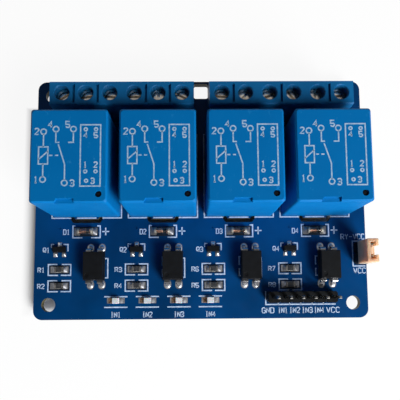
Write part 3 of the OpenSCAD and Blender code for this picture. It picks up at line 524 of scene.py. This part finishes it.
# Zinc is warm and mirror bright. Tin is whiter, and its solder duller. Flux stains bare gold brown.
zinc = plated("zinc_plated_steel", "#c4b8a8", "#eee4d6", 0.17, 0.3, 0.004)
tinned = plated("tin_plated_brass", "#cfcdc6", "#e6e4dd", 0.38)
end_caps = plated("tinned_end_caps", "#45423e", "#8f8c88", 0.5, 0.18, 0.012, metallic=0.8)
diode_caps = plated("nickel_diode_caps", "#7d796f", "#a39f95", 0.56, metallic=0.7)
dull_solder = plated("dull_chip_solder", "#6f7074", "#9c9ca0", 0.52, 0.6, 0.012, metallic=0.85)
lead_tin = plated("matt_tin_lead_frame", "#848486", "#a8a8aa", 0.2)
pin_metal = plated("tin_plated_header_pins", "#b0aea8", "#d2d0cb", 0.2)
solder_tin = plated("reflowed_tin_solder", "#a9a9ab", "#d6d6d8", 0.36, 0.6, 0.012, metallic=0.9)
gilt = plated("flux_stained_gold_flash", "#4c3a31", "#9a7d66", 0.46, 0.2, metallic=0.6)
copper_slug = plated("copper_clad_slug", "#94695a", "#b28a78", 0.48, metallic=0.8)
# Metals inside the relays and terminals: grey iron, pale nickel, yellow bronze and red copper wire.
iron = plated("nickel_plated_iron", "#8d9094", "#a3a6a9", 0.34)
nickel = plated("nickel_plated_clamp", "#b7b2a4", "#cfcabb", 0.3)
bronze = plated("phosphor_bronze_spring", "#b9924a", "#cfa964", 0.3)
winding_copper = plated("enamelled_copper_wire", "#8f4a1e", "#b8662c", 0.24, 0.4, 0.006)
# Clear glass whose slight waves bend the highlights, over a dark chip.
glass, glass_tree, glass_shader = finish_of("soda_lime_glass", "#f4efe6", 0.03, Transmission_Weight=1.0,
                                            IOR=1.5)
relief(glass_tree, glass_shader, (patches(glass_tree, 0.8), 0.008))
die_dark = moulded_plastic("silicon_die", "#201c1c", "#2e2828", 0.35, 0.2, 0.004, 0.5)


# ---- putting pieces into the scene

def piece(name, parts, body="board", stands_for=(), crease=35):
    """One object from (mesh, material) pairs in mm, smooth except where faces meet at over the crease."""
    points, faces = joined([shape for shape, _ in parts])
    data = bpy.data.meshes.new(name)
    data.from_pydata((points / 1000).tolist(), [], [one for face in faces for one in face.tolist()])
    counts = [sum(len(face) for face in shape[1]) for shape, _ in parts]
    palette = list(dict.fromkeys(material for _, material in parts))
    for material in palette:
        data.materials.append(material)
    which = [palette.index(material) for _, material in parts]
    data.polygons.foreach_set("material_index", np.repeat(which, counts))
    data.shade_smooth()
    data.set_sharp_from_angle(angle=math.radians(crease))
    data.update()
    thing = put(name, data)
    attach(thing, body)
    if stands_for:
        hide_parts(*stands_for)


def softened(name, node, radius, material, body="board", crease=20, film=0.0):
    """A copy of a CAD solid with its loose triangles merged and its edges rounded, as a mould leaves them.
    Where print lies on its top, the top is lower by that film, so that the print ends level with it."""
    same_place, flat, sharp = 1e-7, math.radians(1), math.radians(32)
    shape = bmesh.new()
    shape.from_mesh(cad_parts[node].data)
    bmesh.ops.remove_doubles(shape, verts=shape.verts, dist=same_place)
    bmesh.ops.dissolve_limit(shape, angle_limit=flat, verts=shape.verts, edges=shape.edges)
    data = bpy.data.meshes.new(name)
    shape.to_mesh(data)
    shape.free()
    points = np.empty(len(data.vertices) * 3, np.float32)
    data.vertices.foreach_get("co", points)
    points[2::3] = np.minimum(points[2::3], points[2::3].max() - film / 1000)
    data.vertices.foreach_set("co", points)
    data.materials.clear()
    data.materials.append(material)
    data.polygons.foreach_set("material_index", np.zeros(len(data.polygons), int))
    data.shade_smooth()
    data.set_sharp_from_angle(angle=math.radians(crease))
    thing = put(name, data)
    ease = thing.modifiers.new("rounded_edges", "BEVEL")
    ease.width, ease.segments, ease.limit_method = radius / 1000, 2, "ANGLE"
    ease.angle_limit, ease.harden_normals = sharp, True
    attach(thing, body)
    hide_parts(node)


def dress(node, material):
    """Gives a CAD node that keeps its own shape its finish."""
    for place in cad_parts[node].material_slots:
        place.material = material


# ---- lettering and silkscreen

# Strokes of each sign on its grid: pairs of digits are points, and a space lifts the pen.
SIGN_WIDE, SIGN_HIGH, SIGN_GAP = 4, 6, 1.4
SIGNS = {
    "1": "152620 1030", "2": "05163645440040", "3": "0516364544334241301001 1333", "4": "30360242",
    "5": "460603334241301001", "6": "4536160501103041423303", "7": "064610",
    "8": "13040516364544331302011030414233", "C": "4536160501103041", "D": "00063645413000",
    "G": "45361605011030414323", "I": "2026 1030 1636", "N": "0006 0640 4046",
    "Q": "113142453616050211 2340", "R": "00063645443303 2340", "V": "0620 2046",
    "Y": "062320 4623", "-": "0343",
}


def lettering(words, x0, x1, y0, y1):
    """Pen strokes of the words, spread over a box: signs stand a grid's width and a gap apart."""
    step = SIGN_WIDE + SIGN_GAP
    scale = [(x1 - x0) / (len(words) * step - SIGN_GAP), (y1 - y0) / SIGN_HIGH]
    strokes = []
    for k, sign in enumerate(words):
        for stroke in SIGNS[sign].split():
            at = np.array([[int(a), int(b)] for a, b in zip(stroke[::2], stroke[1::2])], float)
            strokes.append((at + [k * step, 0]) * scale + [x0, y0])
    return strokes


def printed(strokes, width, z, film=0.02):
    """Ink strokes of one width, a film's thickness proud of the surface at z."""
    return joined([bar(np.column_stack([line, np.full(len(line), z + film / 2)]), (0, 0, 1), film, width)
                   for line in strokes])


def silkscreen():
    """Outlines and labels of the top print. Points are in mm from the middle of the part that they mark, at
    relays and diodes across from their channel's middle, and at the headers' frames from a corner."""
    outlines, labels = [], []

    def rule(*points, at=(0, 0)):
        outlines.append(np.array(points, float) + at)

    def label(words, x0, x1, y0, y1, at=(0, 0)):
        labels.extend(lettering(words, x0 + at[0], x1 + at[0], y0 + at[1], y1 + at[1]))

    half, front, back = 7.87, RELAY_FRONT - 0.25, RELAY_BACK + 0.25
    resistor_numbers = ("12", "34", "65", "78")
    for c, x in enumerate(CHANNEL_X):
        at = (x, 0)
        for s in (-1, 1):
            rule((s * 3.55, front), (s * half, front), (s * half, back), (s * 3.0, back), at=at)
        rule((-2.2, front), (2.2, front), at=at)
        y = middle(DIODES[c])[1]
        for s, foot, tick in ((-1, 0.95, 2.5), (1, 1.05, 2.4)):
            rule((s * tick, y + 1.3), (s * 3.08, y + 1.3), (s * 3.08, y - 1.4), (s * foot, y - 1.4), at=at)
        rule((3.55, y), (5.1, y), at=at)
        rule((4.32, y - 0.85), (4.32, y + 0.9), at=at)
        label("D%d" % (c + 1), -5.2, -3.85, y - 0.62, y + 0.45, at=at)
        at = middle(TRANSISTORS[c])[:2]
        rule((-1.3, 1.2), (-1.9, 1.2), (-1.9, 0.4), at=at)
        rule((0.75, 1.2), (1.82, 1.2), (1.82, -0.35), at=at)
        label("Q%d" % (c + 1), -3.75, -2.35, -0.62, 0.45, at=at)
        for row in (0, 1):
            at = middle(RESISTORS[2 * c + row])[:2]
            for s in (-1, 1):
                rule((s * 0.5, 1.18), (s * 2.52, 1.18), (s * 2.52, -1.26), (s * 0.33, -1.26), at=at)
            label("R" + resistor_numbers[c][1 - row], -4.85, -3.35, -0.55, 0.42, at=at)
        at = middle(OPTOS[c])[:2]
        rule((1.8, 1.78), (2.58, 1.78), (2.58, -2.55), (1.8, -2.55), at=at)
        rule((-1.95, 2.05), (-2.42, 2.05), (-2.42, 0.25), (-2.2, 0.25), at=at)
        rule((-2.2, -0.75), (-2.42, -0.75), (-2.42, -2.3), (-1.95, -2.3), at=at)
        at = middle(LEDS[c])[:2]
        for dy in (0.86, -1.5):
            rule((-2.6, dy), (2.6, dy), at=at)
        label("IN%d" % (c + 1), -1.1, 1.05, -3.68, -2.6, at=at)
    at = middle(HEADER)[:2]
    low, high = HEADER
    rule((low[0] - 0.25, high[1] + 0.1), (low[0] - 0.25, low[1] - 0.4), (high[0] + 0.2, low[1] - 0.4))
    for k in range(-2, 3):
        pin_gap = at[0] + k * HEADER_PITCH
        rule((pin_gap, low[1] - 0.4), (pin_gap, low[1] - 0.05))
    for words, x0, x1 in (("GND", -8.72, -6.1), ("IN1", -5.15, -3.05), ("IN2", -2.6, -0.3),
                          ("IN3", 0.2, 2.55), ("IN4", 2.95, 5.1), ("VCC", 5.75, 8.65)):
        label(words, x0, x1, -3.5, -2.36, at=at)
    low, high = SUPPLY
    edge, side = RIGHT - 0.25, low[0] - 0.2
    rule((edge, low[1] - 0.3), (side, low[1] - 0.3), (side, high[1] + 0.3), (edge, high[1] + 0.3))
    label("VCC", RIGHT - 2.95, edge, low[1] - 1.9, low[1] - 0.75)
    label("RY-VCC", RIGHT - 5.6, edge, high[1] + 0.75, high[1] + 1.9)
    return [(printed(outlines, width=0.27, z=TOP), screen_ink),
            (printed(labels, width=0.2, z=TOP), screen_ink)]


piece("silkscreen", silkscreen())


# ---- relay covers and their print

# Thickness of the pad print, in mm.
PRINT = 0.012


def relay_print(box):
    """Plain wiring diagram with pin numbers, as pad print on the cover: coil, changeover contact and five
    pins, and beside them the pins' places in a frame."""
    x, y, z = middle(box)[0], middle(box)[1], box[1][2]
    pin_r, small, width = 0.55, 0.55, 0.26
    ring = np.array([[math.cos(a), math.sin(a)] for a in np.radians(np.arange(0, 361, 30))]) * pin_r
    lines = [np.array(line, float) for line in (
        [(-4.9, -4.2), (-4.9, -1.7)], [(-4.9, 1.7), (-4.9, 4.2)],
        [(-5.8, -1.7), (-4.0, -1.7), (-4.0, 1.7), (-5.8, 1.7), (-5.8, -1.7)], [(-5.8, -0.8), (-4.0, 0.8)],
        [(-0.7, -4.9), (-0.7, -1.8), (-2.0, 2.2)], [(-2.5, 4.7), (-2.5, 2.6), (-1.8, 2.6)],
        [(0.9, 4.7), (0.9, 2.6), (-0.1, 2.6)], [(-3.7, 0.0), (-3.1, 0.0)], [(-2.6, 0.0), (-2.0, 0.0)],
        [(2.3, -6.1), (6.2, -6.1), (6.2, 6.1), (2.3, 6.1), (2.3, -6.1)])]
    for px, py in ((-4.9, -4.75), (-4.9, 4.75), (-0.7, -5.45), (-2.5, 5.25), (0.9, 5.25)):
        lines.append(ring + [px, py])
    for px, py in ((3.5, -5.05), (3.3, -3.2), (5.3, -3.2), (3.3, 5.2), (5.3, 5.2)):
        lines.append(ring * small + [px, py])
    for sign, px, py in (("1", -6.6, -5.4), ("2", -6.6, 4.2), ("3", 0.4, -6.1), ("4", -4.0, 5.6),
                         ("5", -0.6, 5.6)):
        lines += lettering(sign, px, px + 0.75, py, py + 1.2)
    for sign, px, py in (("3", 4.4, -5.6), ("1", 2.95, -2.4), ("2", 4.95, -2.4), ("4", 2.95, 3.5),
                         ("5", 4.95, 3.5)):
        lines += lettering(sign, px, px + 0.65, py, py + 1.05)
    return printed([line + [x, y] for line in lines], width, z - PRINT, PRINT)


for c, box in enumerate(CHANNELS, 1):
    softened(f"relay_cover_{c}", f"relay_case_{c}", 0.16, cover_blue, film=PRINT)
    piece(f"relay_cover_print_{c}", [(relay_print(box), pad_ink)])

# Dark drop low in each vent's dimple, painted shade that makes the dimple look deep: the dimple's distance
# from the cover's right and front sides, its depth and its radius.
VENT_X, VENT_Y, VENT_DEEP, VENT_R = 1.8, 1.8, 0.6, 0.62
vent_shade_drop = lathe([(VENT_R, 0.01), (VENT_R, 0.1), (VENT_R * 0.8, 0.16), (VENT_R * 0.4, 0.2), (0.02, 0.21)], 24)
piece("relay_vent_painted_shade", [(copies(vent_shade_drop, [(box[1][0] - VENT_X, box[0][1] + VENT_Y, box[1][2] - VENT_DEEP)
                                          for box in CHANNELS]), epoxy_black)])

for b in range(1, 6):
    softened(f"terminal_housing_{b}", f"terminal_block_{b}", 0.12, housing_blue)


# ---- terminal screws

HEAD_HIGH, SLOT_WIDE, SLOT_DEEP, DOME, ROUNDING = 1.1, 0.55, 0.7, 0.09, 0.08
THREAD_R, THREAD_DEEP, THREAD_PITCH, THREAD_IN_HEAD = 1.25, 0.22, 0.45, 0.05
# Degrees by which each slot is turned, from left to right.
SLOT_TURNS = (32, 8, -6, 0, 92, -26, -4, 48, 18, -52, 95, 6)

for s, (box, turn) in enumerate(zip(SCREWS, SLOT_TURNS), 1):
    (x, y, _), r = middle(box), (box[1][0] - box[0][0]) / 2
    bottom, neck = box[0][2], box[1][2] - HEAD_HIGH
    head = turned(slotted_head(r, HEAD_HIGH, SLOT_WIDE, SLOT_DEEP, DOME, ROUNDING), "Z", turn)
    shank = thread(THREAD_R, THREAD_DEEP, THREAD_PITCH, neck - bottom + THREAD_IN_HEAD)
    piece(f"terminal_screw_threaded_{s}", [(copies(head, [[x, y, neck]]), zinc),
                                           (copies(shank, [[x, y, bottom]]), zinc)],
          f"screw_{s}", [f"terminal_screw_{s}"])
    dress(f"terminal_clamp_{s}", nickel)


# ---- solder and pads

# Pads stand PAD_FILM off the board on top and UNDER_PAD below, past the tracks, and solder starts ON_PAD off
# it, inside its pad.
PAD_FILM, UNDER_PAD, ON_PAD = 0.035, 0.06, 0.03
# Each transistor lead's place: across from the body's middle, and to its front or back.
LEGS, LEG_PAD_Y = ((-0.95, -1), (0.95, -1), (0, 1)), 1.18


def underside_solder():
    """Hollow fillets on the underside, one at each soldered pin, on a thin tinned pad."""
    shapes, pads = [], []
    pin_share, pad_margin, pad_flare = 0.42, 0.12, 0.02
    for low, high in SOLDER:
        x, y, _ = middle((low, high))
        r = (high[0] - low[0]) / 2
        heap = mirrored(fillet((r, r), (r * pin_share, r * pin_share), high[2] - low[2]), 2)
        disc = lathe([(r + pad_margin, -UNDER_PAD), (r + pad_margin + pad_flare, 0.0)], 24)
        shapes.append(copies(heap, [[x, y, UNDER - ON_PAD]]))
        pads.append(copies(disc, [[x, y, UNDER]]))
    return [(joined(shapes), solder_tin), (joined(pads), tinned)]


piece("underside_solder", underside_solder(), stands_for=["solder_joints"])


def pad(width, length, radius, at, arc=5):
    """Thin tinned pad with round corners, lying on the board."""
    return copies(moulded(width, length, radius, [(0, 0), (0, PAD_FILM)], arc), [at])


def topside_solder():
    """Tinned rings and low fillets round the optocoupler leads, and pads with drawn-up solder under the small
    parts. Flux has stained the solder at the lights' left ends brown."""
    shapes, heaps, stained, pads = [], [], [], []
    ring_out = 0.16
    heap = fillet((0.72, 0.95), (0.34, 0.22), 0.55)
    for low, high in LEADS:
        x, y, _ = middle((low, high))
        at = np.array([x, high[1] + ring_out if y > middle(OPTOS[0])[1] else low[1] - ring_out, TOP])
        pads.append(pad(1.6, 2.1, 0.79, at, arc=8))
        shapes.append(copies(heap, [at + [0, 0, ON_PAD]]))
    # Sizes of the pads and of the heaps, how far out of the part's end each lies, and how far the heaps lean.
    for boxes, pad_size, pad_out, heap_size, heap_out, lean, left in (
            (RESISTORS, (1.2, 1.42), 0.4, (0.85, 1.34, 0.34), 0.28, 0.9, heaps),
            (LEDS, (1.15, 1.3), 0.4, (0.85, 1.22, 0.1), 0.28, 0.9, stained),
            (DIODES, (1.3, 1.75), 0.2, (0.95, 1.6, 0.62), 0.3, 0.85, heaps)):
        for low, high in boxes:
            x, y, _ = middle((low, high))
            for s in (-1, 1):
                end = x + s * (high[0] - low[0]) / 2
                pads.append(pad(*pad_size, 0.12, [end + s * pad_out, y, TOP]))
                wedge = mound(*heap_size, -lean * s)
                (left if s < 0 else heaps).append(copies(wedge, [[end + s * heap_out, y, TOP + ON_PAD]]))
    for box in TRANSISTORS:
        x, y, _ = middle(box)
        for dx, s in LEGS:
            at = np.array([x + dx, y + s * LEG_PAD_Y, TOP])
            pads.append(pad(0.95, 1.0, 0.1, at))
            shapes.append(copies(turned(mound(0.8, 0.85, 0.26, 0.6), "Z", -90 * s), [at + [0, 0, ON_PAD]]))
    return [(joined(shapes), solder_tin), (joined(heaps + pads), dull_solder), (joined(stained), gilt)]


piece("topside_solder", topside_solder())


# ---- copper under the mask

def soldered(x, y):
    """Middle of the solder joint nearest to a point."""
    return min((middle(box)[:2] for box in SOLDER), key=lambda at: math.dist(at, (x, y)))


def masked_copper():
    """Tracks that lift the mask below: wide ones from each relay's contacts to its terminals, narrow ones to
    the coils and optocouplers, and two long buses. They are sunk in the board, and each stands out a step
    further than the one before, so that none share a face."""
    film, deep, least, step = 0.03, 0.06, 0.025, 0.0012
    relay_y = (RELAY_FRONT + RELAY_BACK) / 2
    pin_x, coil_y, com_y, contact_y = 6.0, relay_y - 5.15, relay_y - 7.15, relay_y + 7.05
    terminal_y, via_y, jog_y = BACK - 9.2, RELAY_FRONT - 2.6, FRONT + 6.4
    supply_bus, ground_bus = RELAY_FRONT - 4.25, FRONT + 1.9
    common_w, contact_w, coil_w, lead_w, supply_w, ground_w = 3.4, 2.8, 0.9, 0.7, 1.3, 1.5
    below, vias = [], []
    for c, x in enumerate(CHANNEL_X):
        ways = [soldered(middle(SCREWS[3 * c + k])[0], terminal_y) for k in range(3)]
        common, coil = soldered(x, com_y), soldered(x + pin_x, coil_y)
        below.append(([common, (x, contact_y), ways[1]], common_w))
        for side, way in ((-1, ways[0]), (1, ways[2])):
            below.append(([soldered(x + side * pin_x, contact_y), way], contact_w))
        below.append(([coil, (coil[0], supply_bus)], coil_w))
        opto_x, opto_y = middle(OPTOS[c])[:2]
        lead, past_x = soldered(opto_x - HEADER_PITCH / 2, opto_y + 3.8), opto_x - 0.9
        below.append(([lead, (opto_x, lead[1] - 1.3), (opto_x, jog_y), (past_x, jog_y - 1),
                       (past_x, ground_bus)], lead_w))
        vias.append((middle(TRANSISTORS[c])[0] - 0.05, via_y))
        below.append(([soldered(x - pin_x, coil_y), vias[-1]], coil_w))
    supply = soldered(middle(SUPPLY)[0], middle(SUPPLY)[1] + HEADER_PITCH / 2)
    ground = soldered(HEADER[0][0] + HEADER_PITCH / 2, middle(HEADER)[1])
    below.append(([(LEFT + 5.5, supply_bus), (RIGHT - 3.6, supply_bus), supply], supply_w))
    below.append(([(LEFT + 7, ground_bus), (ground[0] - 1.5, ground_bus), ground], ground_w))
    shapes = []
    for k, (path, width) in enumerate(below):
        z = UNDER - least - step * k + deep / 2
        shapes.append(bar([(*at[:2], z) for at in path], (0, 0, 1), deep, width))
        ends = moulded(width, width, width * 0.49, [(0, -deep / 2 - 0.001), (0, deep / 2)], 6)
        shapes.append(copies(ends, [(*at[:2], z) for at in path]))
    ring = lathe([(0.42, -0.01), (0.42, film), (0.2, film), (0.14, 0)], 20)
    above = copies(ring, [(x, y, TOP) for x, y in vias])
    shapes.append(copies(mirrored(ring, 2), [(x, y, UNDER - 0.02) for x, y in vias]))
    return [(joined(shapes), mask_over_copper), (above, mask)]


def mask_openings():
    """Windows in the mask round the pads of the resistors and diodes, filled near black as painted shade
    round the parts.
    """
    film = 0.012
    return joined([copies(moulded(w, l, 0.1, [(0, 0), (0, film)]), [(*middle(box)[:2], TOP) for box in boxes])
                   for boxes, w, l in ((RESISTORS, 4.5, 1.9), (DIODES, 5.7, 2.2))])


piece("masked_copper_tracks", masked_copper() + [(mask_openings(), near_black_pad_shade)])


# ---- small parts

def resistor(low, high):
    """Alumina chip with a black glaze on top and wrapped metal ends, lifted by its solder."""
    length, width, height = *(high - low)[:2], high[2] - TOP
    lift, cap, cap_gap, glaze_thick = 0.05, 0.4, 0.36, 0.05
    core = copies(eased_block(length - 0.06, width - 0.06, height - 0.06, 0.04, 0.03), [[0, 0, 0.02]])
    glazed = eased_block(length - 2 * cap_gap, width - 0.1, glaze_thick, 0.06, 0.02)
    end = eased_block(cap, width, height, 0.07, 0.06)
    ends = copies(end, [[s * (length - cap) / 2, 0, 0] for s in (-1, 1)])
    at = [*middle((low, high))[:2], TOP + lift]
    return [copies(shape, [at]) for shape in (core, copies(glazed, [[0, 0, height - glaze_thick]]), ends)]


def indicator(low, high):
    """Chip light: laminate carrier, a milky block with sloped ends, and two ends that the metal wraps round,
    the left one bare gold flash and the right one drowned in solder."""
    length, width, height = *(high - low)[:2], high[2] - TOP
    lift, end_in = 0.04, 0.16
    carrier = eased_block(length, width, 0.36, 0.05, 0.04)
    lens = moulded(length * 0.72, width - 0.04, 0.06,
                   [(0.06, 0.3), (0.06, 0.4), (0, height - 0.06), (-0.05, height)])
    end = eased_block(0.36, width + 0.03, 0.4, 0.06, 0.05)
    left, right = (copies(end, [[s * (length / 2 - end_in), 0, 0]]) for s in (-1, 1))
    at = [*middle((low, high))[:2], TOP + lift]
    return [copies(shape, [at]) for shape in (carrier, lens, left, right)]


def diode(low, high):
    """Glass tube along x between two metal caps, with a slug reaching in from each end and a dark chip
    between. The tube's rims are quarter ellipses, and the inner parts' ends are shares of the length."""
    length, r = high[0] - low[0], (high[1] - low[1]) / 2
    cap, wall, in_cap = 0.5, 0.1, 0.6
    t = np.radians(np.linspace(0, 90, 5))
    tube = lathe([(r - wall, cap * in_cap), *zip(r - wall + 0.04 * np.sin(t), cap + wall * np.sin(t)),
                  *zip(r - wall + 0.04 * np.cos(t), length - cap - wall + wall * np.sin(t)),
                  (r - wall, length - cap * in_cap)], 40)
    end = lathe([(r - 0.16, 0), (r - 0.04, 0.05), (r, 0.14), (r, cap - 0.06), (r - 0.05, cap)], 40)
    slug = lathe([(0.36, cap - 0.1), (0.36, length * 0.56), (0.3, length * 0.58)], 24)
    plug = lathe([(0.34, length * 0.78), (0.4, length * 0.8), (0.4, length - cap + 0.1)], 24)
    chip = lathe([(0.32, length * 0.575), (0.32, length * 0.785)], 20)
    tube, near, far, slug, plug, chip = (turned(shape, "Y", 90)
                                         for shape in (tube, end, mirrored(end, 2), slug, plug, chip))
    at = [low[0], *middle((low, high))[1:]]
    return [copies(shape, [at])
            for shape in (tube, joined([near, copies(far, [[length, 0, 0]])]), joined([slug, plug]), chip)]


def by_finish(make, boxes, finishes):
    """Makes a part in each box and joins what is of one finish: (mesh, material) pairs."""
    return list(zip(map(joined, zip(*(make(*box) for box in boxes))), finishes))


piece("chip_resistor_parts", by_finish(resistor, RESISTORS, (alumina, glaze, end_caps)),
      stands_for=["chip_resistors"])
piece("indicator_lights", by_finish(indicator, LEDS, (carrier_white, led_white, gilt, dull_solder)),
      stands_for=["indicator_leds"])
piece("glass_diodes", by_finish(diode, DIODES, (glass, diode_caps, copper_slug, die_dark)),
      stands_for=["diodes"])


def optocoupler_lead(low, high):
    """Stamped lead in two widths: a wide shoulder leaves the body and turns down on an arc, and a narrow leg
    goes on through the board."""
    thick, shoulder, leg, bend, rooted, waist = 0.25, 1.18, 0.5, 0.35, 0.2, TOP + 0.95
    x, y, _ = middle((low, high))
    body = min(OPTOS, key=lambda box: abs(middle(box)[0] - x))
    side = 1 if y > middle(body)[1] else 0
    s = 2 * side - 1
    root, outer = body[side][1] - s * rooted, (low, high)[side][1] - s * thick / 2
    arm = high[2] - thick / 2
    t = np.radians(np.linspace(0, 90, 6))
    arc = [(x, outer - s * bend + s * bend * math.sin(a), arm - bend + bend * math.cos(a)) for a in t]
    upper = bar([(x, root, arm), *arc, (x, outer, waist)], (1, 0, 0), shoulder, thick)
    lower = bar([(x, outer, waist + 0.02), (x, outer, low[2] + 0.01)], (1, 0, 0), leg, thick)
    return joined([upper, lower])


piece("optocoupler_lead_frames", [(joined([optocoupler_lead(*box) for box in LEADS]), lead_tin)],
      stands_for=["optocoupler_leads"])


def transistor_lead(x, y, s):
    """Gull-wing lead: out of the body at half height, down on a slope, and flat on its pad."""
    path = [(x, y + s * out, TOP + up)
            for out, up in ((0.5, 0.5), (0.78, 0.5), (0.9, 0.4), (0.98, 0.16), (1.06, 0.1), (1.2, 0.1))]
    return bar(path, fixed=(1, 0, 0), deep=0.42, wide=0.12)


piece("transistor_lead_frames", [(joined([transistor_lead(middle(box)[0] + dx, middle(box)[1], s)
                                          for box in TRANSISTORS for dx, s in LEGS]), lead_tin)],
      stands_for=["transistor_leads"])

softened("optocoupler_bodies", "optocouplers", 0.09, epoxy_black, crease=10)
softened("transistor_bodies", "transistors", 0.05, epoxy_black, crease=10)
softened("input_header_strip", "input_header", 0.06, header_black)
softened("supply_header_strip", "supply_header", 0.06, header_black)
softened("jumper_shell", "jumper_cap", 0.1, jumper_tan, body="jumper")


# ---- inner parts and nodes that keep their shape

def wound_coil(low, high, wire=0.28, swell=0.12, uneven=0.02, around=48, steps=6):
    """Wound wire: the radius swells by the absolute sine of pi times (height / wire - angle / turn), and by a
    slow unevenness of three waves round the coil, up to the CAD solid's radius."""
    r, h = (high[0] - low[0]) / 2, high[2] - low[2]
    z = np.linspace(0, h, int(h / wire * steps))[:, None]
    angle = np.arange(around) * 2 * np.pi / around
    turns = np.abs(np.sin(np.pi * (z / wire - angle / (2 * np.pi))))
    ripple = r - swell - uneven + swell * turns + uneven * np.sin(3 * angle + z)
    return loft(np.stack([ripple * np.cos(angle), ripple * np.sin(angle), z + 0 * ripple], -1))


piece("coil_windings", [(joined([copies(wound_coil(low, high), [[*middle((low, high))[:2], low[2]]])
                                 for low, high in solids("relay_windings")]), winding_copper)],
      stands_for=["relay_windings"])

for node, material in {"circuit_board": mask, "terminal_contacts": tinned, "relay_bases": base_plastic,
                       "relay_yokes": iron, "relay_bobbins": bobbin_white, "relay_pins": tinned,
                       "input_header_pins": pin_metal, "supply_header_pins": pin_metal, "jumper_clip": bronze,
                       **{f"relay_armature_{c}": iron for c in range(1, 5)}}.items():
    dress(node, material)
